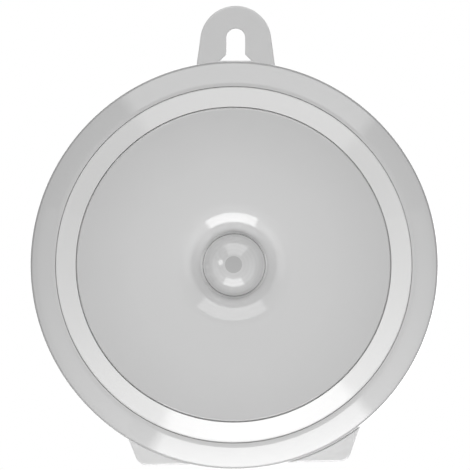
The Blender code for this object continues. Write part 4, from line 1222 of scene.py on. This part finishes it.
def add_cell(bm, cells, side, where):
    """Turn a cell about its own axis and lay it in its bay, its nub towards that side."""
    end = cells.length / 2
    neck = end - cells.nub_height
    edge = cells.sleeve_edge
    nub_edge = cells.nub_height / 4
    metal_r = cells.radius * cells.metal_end
    profile = [(0, end), (cells.nub_radius - nub_edge, end)]
    profile += arc(cells.nub_radius - nub_edge, end - nub_edge, nub_edge, 0, UPRIGHT,
                   TINY_STEPS)[1:]
    profile += [(cells.nub_radius, neck - edge / 4), (metal_r, neck - edge / 4)]
    profile += arc(cells.radius - edge, neck - edge, edge, 0, UPRIGHT, SMALL_STEPS)
    profile += arc(cells.radius - edge, -end + edge, edge, UPRIGHT, math.pi, SMALL_STEPS)
    profile += [(metal_r, -end), (cells.radius * cells.sunk_end, -end + edge / 3),
                (0, -end + edge / 3)]
    add_turned(bm, profile, cells.turn_steps, False)
    for face in bm.faces:
        spot = face.calc_center_median()
        face.material_index = 1 if math.hypot(spot.x, spot.z) < metal_r else 0
    turn = Matrix.Rotation(side * UPRIGHT, 4, "Z")
    bmesh.ops.transform(bm, matrix=Matrix.Translation(where) @ turn, verts=bm.verts)


class LIGHT_OT_cells(bpy.types.Operator):
    """Turn the cells, each with a sleeve, a nub and a flat end"""

    bl_idname = "wall_light.cells"
    bl_label = "Cells"

    def execute(self, context):
        cells = ready().cells
        for i, name in enumerate(numbered("cell")):
            side = -1 if i % 2 else 1
            mesh = mesh_of(name, add_cell, cells, side, middle(name))
            finished(name, mesh, FINISH["sleeve"], FINISH["nickel"])
        return {"FINISHED"}


def wound_tube(name, route, radius):
    """A round wire along its route, as a mesh."""
    curve = bpy.data.curves.new(name, "CURVE")
    curve.dimensions = "3D"
    curve.bevel_depth = radius
    curve.bevel_resolution = WIRE_RESOLUTION
    curve.use_fill_caps = True
    spline = curve.splines.new("POLY")
    spline.points.add(len(route) - 1)
    for point, stop in zip(spline.points, route):
        point.co = (*stop, 1)
    helper = added(name, curve)
    mesh = shown_mesh(helper)
    bpy.data.objects.remove(helper)

    def weld(bm):
        bmesh.ops.remove_doubles(bm, verts=bm.verts, dist=MERGE)
        bmesh.ops.recalc_face_normals(bm, faces=bm.faces)

    return reshaped(mesh, weld)


class LIGHT_OT_springs(bpy.types.Operator):
    """Wind the conical contact springs and finish the contact plates"""

    bl_idname = "wall_light.springs"
    bl_label = "Springs and contacts"

    def execute(self, context):
        cells = ready().cells
        count = round(cells.spring_turns * cells.spring_steps)
        wire = cells.spring_wire
        for i, (name, cell) in enumerate(zip(numbered("contact_spring"), numbered("cell"))):
            low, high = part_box(name)
            side = 1 if i % 2 else -1
            axis = middle(cell)
            start = high.x - wire / 2 if side > 0 else low.x + wire / 2
            run = high.x - low.x - wire
            route = []
            for along in spread(0, 1, count):
                radius = cells.spring_base + (cells.spring_tip - cells.spring_base) * along
                across, up = on_circle(radius, math.tau * cells.spring_turns * along)
                route.append((start - side * run * along, axis.y - up, axis.z + across))
            finished(name, wound_tube(name, route, wire / 2), FINISH["steel"], weighted=False)
        dress(FINISH["nickel"], "contact_positive", "contact_negative", "contact_link_left",
              "contact_link_right")
        return {"FINISHED"}


class LIGHT_OT_tray(bpy.types.Operator):
    """Finish the battery tray"""

    bl_idname = "wall_light.tray"
    bl_label = "Battery tray"

    def execute(self, context):
        ready()
        dress(FINISH["tray"], "battery_tray")
        return {"FINISHED"}


class LIGHT_OT_electronics(bpy.types.Operator):
    """Finish the reflector, the board and what stands on it"""

    bl_idname = "wall_light.electronics"
    bl_label = "Electronics"

    def execute(self, context):
        ready()
        dress(FINISH["reflector"], "reflector")
        dress(FINISH["board"], "main_board")
        dress(FINISH["phosphor"], *numbered("led"))
        dress(FINISH["filter"], "pyro_window", "light_sensor")
        dress(FINISH["nickel"], "pyro_sensor")
        dress(FINISH["black"], "control_chip", "regulator", *numbered("capacitor"))
        return {"FINISHED"}


# A screw's blunt tip, in shares of its radius
TIP_R, TIP_RUN = 0.35, 0.4


def screw_mesh(name, radius, head_r, head_h, full_length, screws):
    """A pan head screw with a cross recess, from its head's face at depth 0 to its tip."""
    round_r = head_h / 2
    profile = [(0, full_length), (radius * TIP_R, full_length - radius * TIP_RUN),
               (radius, full_length - radius), (radius, head_h), (head_r, head_h)]
    profile += arc(head_r - round_r, round_r, round_r, UPRIGHT, math.pi, SMALL_STEPS)
    profile += [(0, 0)]
    mesh = mesh_of(name, add_turned, profile, screws.turn_steps, False)
    half_length, half_width = screws.recess_length / 2, screws.recess_width / 2
    arms = [block_mesh("arm", 0, 0, half_x, half_z, -head_h, screws.recess_depth)
            for half_x, half_z in ((half_length, half_width), (half_width, half_length))]
    return carved(mesh, "DIFFERENCE", *arms)


def moved(mesh, matrix):
    copy = mesh.copy()
    copy.transform(matrix)
    return copy


class LIGHT_OT_screws(bpy.types.Operator):
    """Turn the screws and cut their cross recesses"""

    bl_idname = "wall_light.screws"
    bl_label = "Screws"

    def execute(self, context):
        light = ready()
        screws, plate = light.screws, light.plate
        head_d, tip_d = rear("housing_screw_1"), front("housing_screw_1")
        mesh = screw_mesh("housing_screw", screws.radius, screws.head_radius, screws.head_height,
                          tip_d - head_d, screws)
        for name, (x, z) in zip(numbered("housing_screw"), post_places(plate)):
            finished(name, moved(mesh, Matrix.Translation((x, -head_d, z))), FINISH["steel"])
        head_d, tip_d = front("tray_screw_1"), rear("tray_screw_1")
        mesh = screw_mesh("tray_screw", screws.tray_radius, screws.tray_head_radius,
                          screws.tray_head_height, head_d - tip_d, screws)
        turned_round = Matrix.Rotation(math.pi, 4, "X")
        for name, side in zip(numbered("tray_screw"), (-1, 1)):
            spot = Matrix.Translation((side * plate.ear_x, -head_d, plate.ear_y))
            finished(name, moved(mesh, spot @ turned_round), FINISH["steel"])
        return {"FINISHED"}


# The stage

WHITE = (1, 1, 1, 1)
PATCH_STEPS = 8
FLAG_STEPS = 64
# How much of the floor is plain white close to the light, and far from it
FLOOR_WHITE_NEAR, FLOOR_WHITE_FAR = 0.45, 1.0

# Every soft box in front: its name, its angles from the facing axis and its azimuths clockwise from
# up, both in degrees, the setting of its radiance, and the pieces that it reaches or leaves out
COVER, LENS = ("front_cover",), ("pir_lens",)
FACE_BOXES = (
    ("low_box", (40, 92), (138, 205.5), "low_box", "EXCLUDE", COVER + LENS),
    ("cover_low_box", (43, 92), (147.5, 210.5), "low_box", "INCLUDE", COVER),
    ("lens_low_box", (43, 92), (151.5, 212.5), "low_box", "INCLUDE", LENS),
    ("top_box", (30, 82), (-34, 42), "top_box", "EXCLUDE", COVER + LENS),
    ("cover_top_box", (30, 82), (-38, 38.5), "top_box", "INCLUDE", COVER),
    ("lens_top_box", (31, 74), (-27, 39), "lens_box", "INCLUDE", LENS),
)
SIDE_BOXES = (("left_box", (46, 72), (-145, -72)), ("right_box", (46, 72), (72, 137)))
BACK_BOX = ("back_box", (150, 175), (-180, 180))


def toward(theta, azimuth):
    """A direction by its angle from the light's facing axis and its azimuth, clockwise from up."""
    return Vector((math.sin(theta) * math.sin(azimuth), -math.cos(theta),
                   math.sin(theta) * math.cos(azimuth)))


def disk_lamp(name, theta, azimuth, distance, radius, radiance):
    """A round lamp that faces the light from a direction."""
    lamp = bpy.data.lights.new(name, "AREA")
    lamp.shape = "DISK"
    lamp.size = radius * 2
    lamp.energy = radiance * (math.pi * radius) ** 2
    place = toward(theta, azimuth) * distance
    obj = added(name, lamp)
    obj.matrix_world = Matrix.Translation(place) @ place.to_track_quat("Z", "Y").to_matrix().to_4x4()
    obj.visible_camera = obj.visible_diffuse = False
    return obj


def add_patch(bm, thetas, azimuths, distance, fade, steps):
    """A piece of a sphere around the light, whose glow may fade out at its two sides."""
    glow = bm.verts.layers.float.new("glow")
    start, end = azimuths[0] + fade / 2, azimuths[1] - fade / 2
    stops = [(azimuth, 1.0) for azimuth in spread(start, end, steps)]
    if fade:
        stops = [(start - fade, 0.0), *stops, (end + fade, 0.0)]
    rows = []
    for theta in spread(*thetas, steps):
        row = [bm.verts.new(toward(theta, azimuth) * distance) for azimuth, _ in stops]
        for vert, (_, level) in zip(row, stops):
            vert[glow] = level
        rows.append(row)
    for near, far in zip(rows, rows[1:]):
        for quad in zip(near, near[1:], far[1:], far):
            bm.faces.new(quad)


def soft_box(name, thetas, azimuths, distance, radiance, fade=0.0):
    """A glowing veil curved around the light, by its angles in degrees; it adds to what lies behind."""
    obj = stage_piece(name, add_patch, [math.radians(t) for t in thetas],
                      [math.radians(a) for a in azimuths], distance, fade, PATCH_STEPS)
    mix = Mixer(name)
    level = mix.node("ShaderNodeAttribute", attribute_name="glow").outputs["Fac"]
    glow = mix.node("ShaderNodeEmission", {"Strength": mix.maths("MULTIPLY", level, radiance)})
    clear = mix.node("ShaderNodeBsdfTransparent")
    both = mix.node("ShaderNodeAddShader", {0: glow.outputs[0], 1: clear.outputs[0]})
    feed(mix.tree, mix.surface, both.outputs[0])
    obj.data.materials.append(mix.material)
    obj.visible_camera = False
    return obj


def reach_only(lamp, pieces, state="INCLUDE"):
    """Let a lamp light only these finished pieces, or all but these."""
    group = bpy.data.collections.new(f"{lamp.name}_reach")
    for piece in pieces:
        group.objects.link(bpy.data.objects[f"{piece}_finished"])
    for member in group.collection_objects:
        member.light_linking.link_state = state
    lamp.light_linking.receiver_collection = group


def make_world(fill):
    """White where the camera, a mirror or glass looks at it, and an even fill light for the rest."""
    world = bpy.data.worlds.new("studio")
    bpy.context.scene.world = world
    world.use_nodes = True
    tree = world.node_tree
    tree.nodes.clear()
    path = add_node(tree, "ShaderNodeLightPath").outputs
    seen = path["Is Camera Ray"]
    for kind in ("Is Glossy Ray", "Is Transmission Ray"):
        either = add_node(tree, "ShaderNodeMath", {0: seen, 1: path[kind]}, operation="MAXIMUM")
        seen = either.outputs[0]
    soft = add_node(tree, "ShaderNodeBackground", {"Color": WHITE, "Strength": fill})
    white = add_node(tree, "ShaderNodeBackground", {"Color": WHITE})
    mix = add_node(tree, "ShaderNodeMixShader", {0: seen, 1: soft.outputs[0], 2: white.outputs[0]})
    add_node(tree, "ShaderNodeOutputWorld", {"Surface": mix.outputs[0]})


def stage_piece(name, build, *args):
    obj = added(name, mesh_of(name, build, *args))
    return obj


def add_floor(bm, height, half):
    bmesh.ops.create_grid(bm, x_segments=1, y_segments=1, size=half,
                          matrix=Matrix.Translation((0, 0, height)))


def floor_finish(look):
    """Pale floor that keeps the light's shadow and runs out into white."""
    mix = Mixer("pale_floor")
    mix.set(Base_Color=opaque(look.floor_tone), Roughness=0.9, Specular_IOR_Level=0.0)
    away = mix.node("ShaderNodeVectorMath", {0: mix.where}, operation="LENGTH").outputs["Value"]
    white = mix.ranged(away, FLOOR_WHITE_NEAR, FLOOR_WHITE_FAR, look.floor_near, look.floor_far)
    blend = mix.node("ShaderNodeMixShader", {0: white, 1: mix.shader.outputs[0],
                                             2: mix.node("ShaderNodeEmission").outputs[0]})
    feed(mix.tree, mix.surface, blend.outputs[0])
    return mix.material


def add_flag(bm, radius, near_y, far_y):
    """An open tube around the light, behind its face."""
    verts = [bm.verts.new((radius, y, 0)) for y in (near_y, far_y)]
    edge = bm.edges.new(verts)
    bmesh.ops.spin(bm, geom=verts + [edge], cent=(0, 0, 0), axis=AXIS, angle=math.tau,
                   steps=FLAG_STEPS, use_merge=True, use_duplicate=False)


def add_camera(look):
    camera = bpy.data.cameras.new("camera")
    camera.lens = look.focal
    camera.sensor_width = 36
    camera.clip_start, camera.clip_end = 0.1, 100
    camera.dof.use_dof = False
    obj = added("camera", camera)
    away = Vector((math.sin(look.azimuth) * math.cos(look.elevation),
                   -math.cos(look.azimuth) * math.cos(look.elevation), math.sin(look.elevation)))
    aim = Vector((look.aim_x, 0, look.aim_z))
    obj.matrix_world = (Matrix.Translation(aim + away * look.distance)
                        @ (-away).to_track_quat("-Z", "Y").to_matrix().to_4x4())
    return obj


class LIGHT_OT_stage(bpy.types.Operator):
    """Set up the floor, the soft boxes and the camera"""

    bl_idname = "wall_light.stage"
    bl_label = "Stage"

    def execute(self, context):
        scene, look = context.scene, light_settings().stage
        make_world(look.fill)
        floor = stage_piece("floor", add_floor, CAD_BOX[0].z - look.floor_drop, look.floor_half)
        floor.data.materials.append(floor_finish(look))
        floor.visible_shadow = floor.visible_glossy = floor.visible_diffuse = False
        flag = stage_piece("dark_flag", add_flag, look.flag_radius, look.flag_near, look.flag_far)
        card = Mixer("grey_card")
        card.set(Base_Color=opaque(look.flag_tone), Roughness=0.9)
        flag.data.materials.append(card.material)
        flag.visible_camera = flag.visible_diffuse = flag.visible_shadow = False
        flag.visible_transmission = False
        for name, thetas, azimuths, radiance, state, pieces in FACE_BOXES:
            box = soft_box(name, thetas, azimuths, look.box_distance, getattr(look, radiance),
                           look.box_fade)
            reach_only(box, pieces, state)
        for side in SIDE_BOXES:
            soft_box(*side, look.box_distance, look.side_box)
        soft_box(*BACK_BOX, look.back_distance, look.back_box)
        dot = disk_lamp("small_lamp", look.spot_theta, look.spot_azimuth, look.spot_distance,
                        look.spot_radius, look.spot)
        reach_only(dot, LENS)
        scene.camera = add_camera(look)
        scene.view_settings.view_transform = "Standard"
        return {"FINISHED"}


OPERATORS = (LIGHT_OT_housing, LIGHT_OT_ring, LIGHT_OT_cover, LIGHT_OT_lens, LIGHT_OT_back_shell,
             LIGHT_OT_door, LIGHT_OT_switch, LIGHT_OT_cells, LIGHT_OT_springs, LIGHT_OT_tray,
             LIGHT_OT_electronics, LIGHT_OT_screws, LIGHT_OT_stage)


class LIGHT_PT_panel(bpy.types.Panel):
    """The sizes, the finishes and a button for each piece"""

    bl_idname = "LIGHT_PT_panel"
    bl_label = "Wall light"
    bl_space_type = "VIEW_3D"
    bl_region_type = "UI"
    bl_category = "Wall Light"

    def draw(self, context):
        light = context.scene.wall_light
        for operator in OPERATORS:
            self.layout.operator(operator.bl_idname)
        for name, group in GROUPS.items():
            box = self.layout.box()
            box.label(text=name.capitalize())
            for prop in group.__annotations__:
                box.prop(getattr(light, name), prop)


CLASSES = (*GROUPS.values(), WallLight, *OPERATORS, LIGHT_PT_panel)


def register():
    for cls in CLASSES:
        bpy.utils.register_class(cls)
    bpy.types.Scene.wall_light = PointerProperty(type=WallLight)


def unregister():
    del bpy.types.Scene.wall_light
    for cls in reversed(CLASSES):
        bpy.utils.unregister_class(cls)


def main():
    register()
    for operator in OPERATORS:
        group, name = operator.bl_idname.split(".")
        getattr(getattr(bpy.ops, group), name)()


if __name__ == "__main__":
    main()
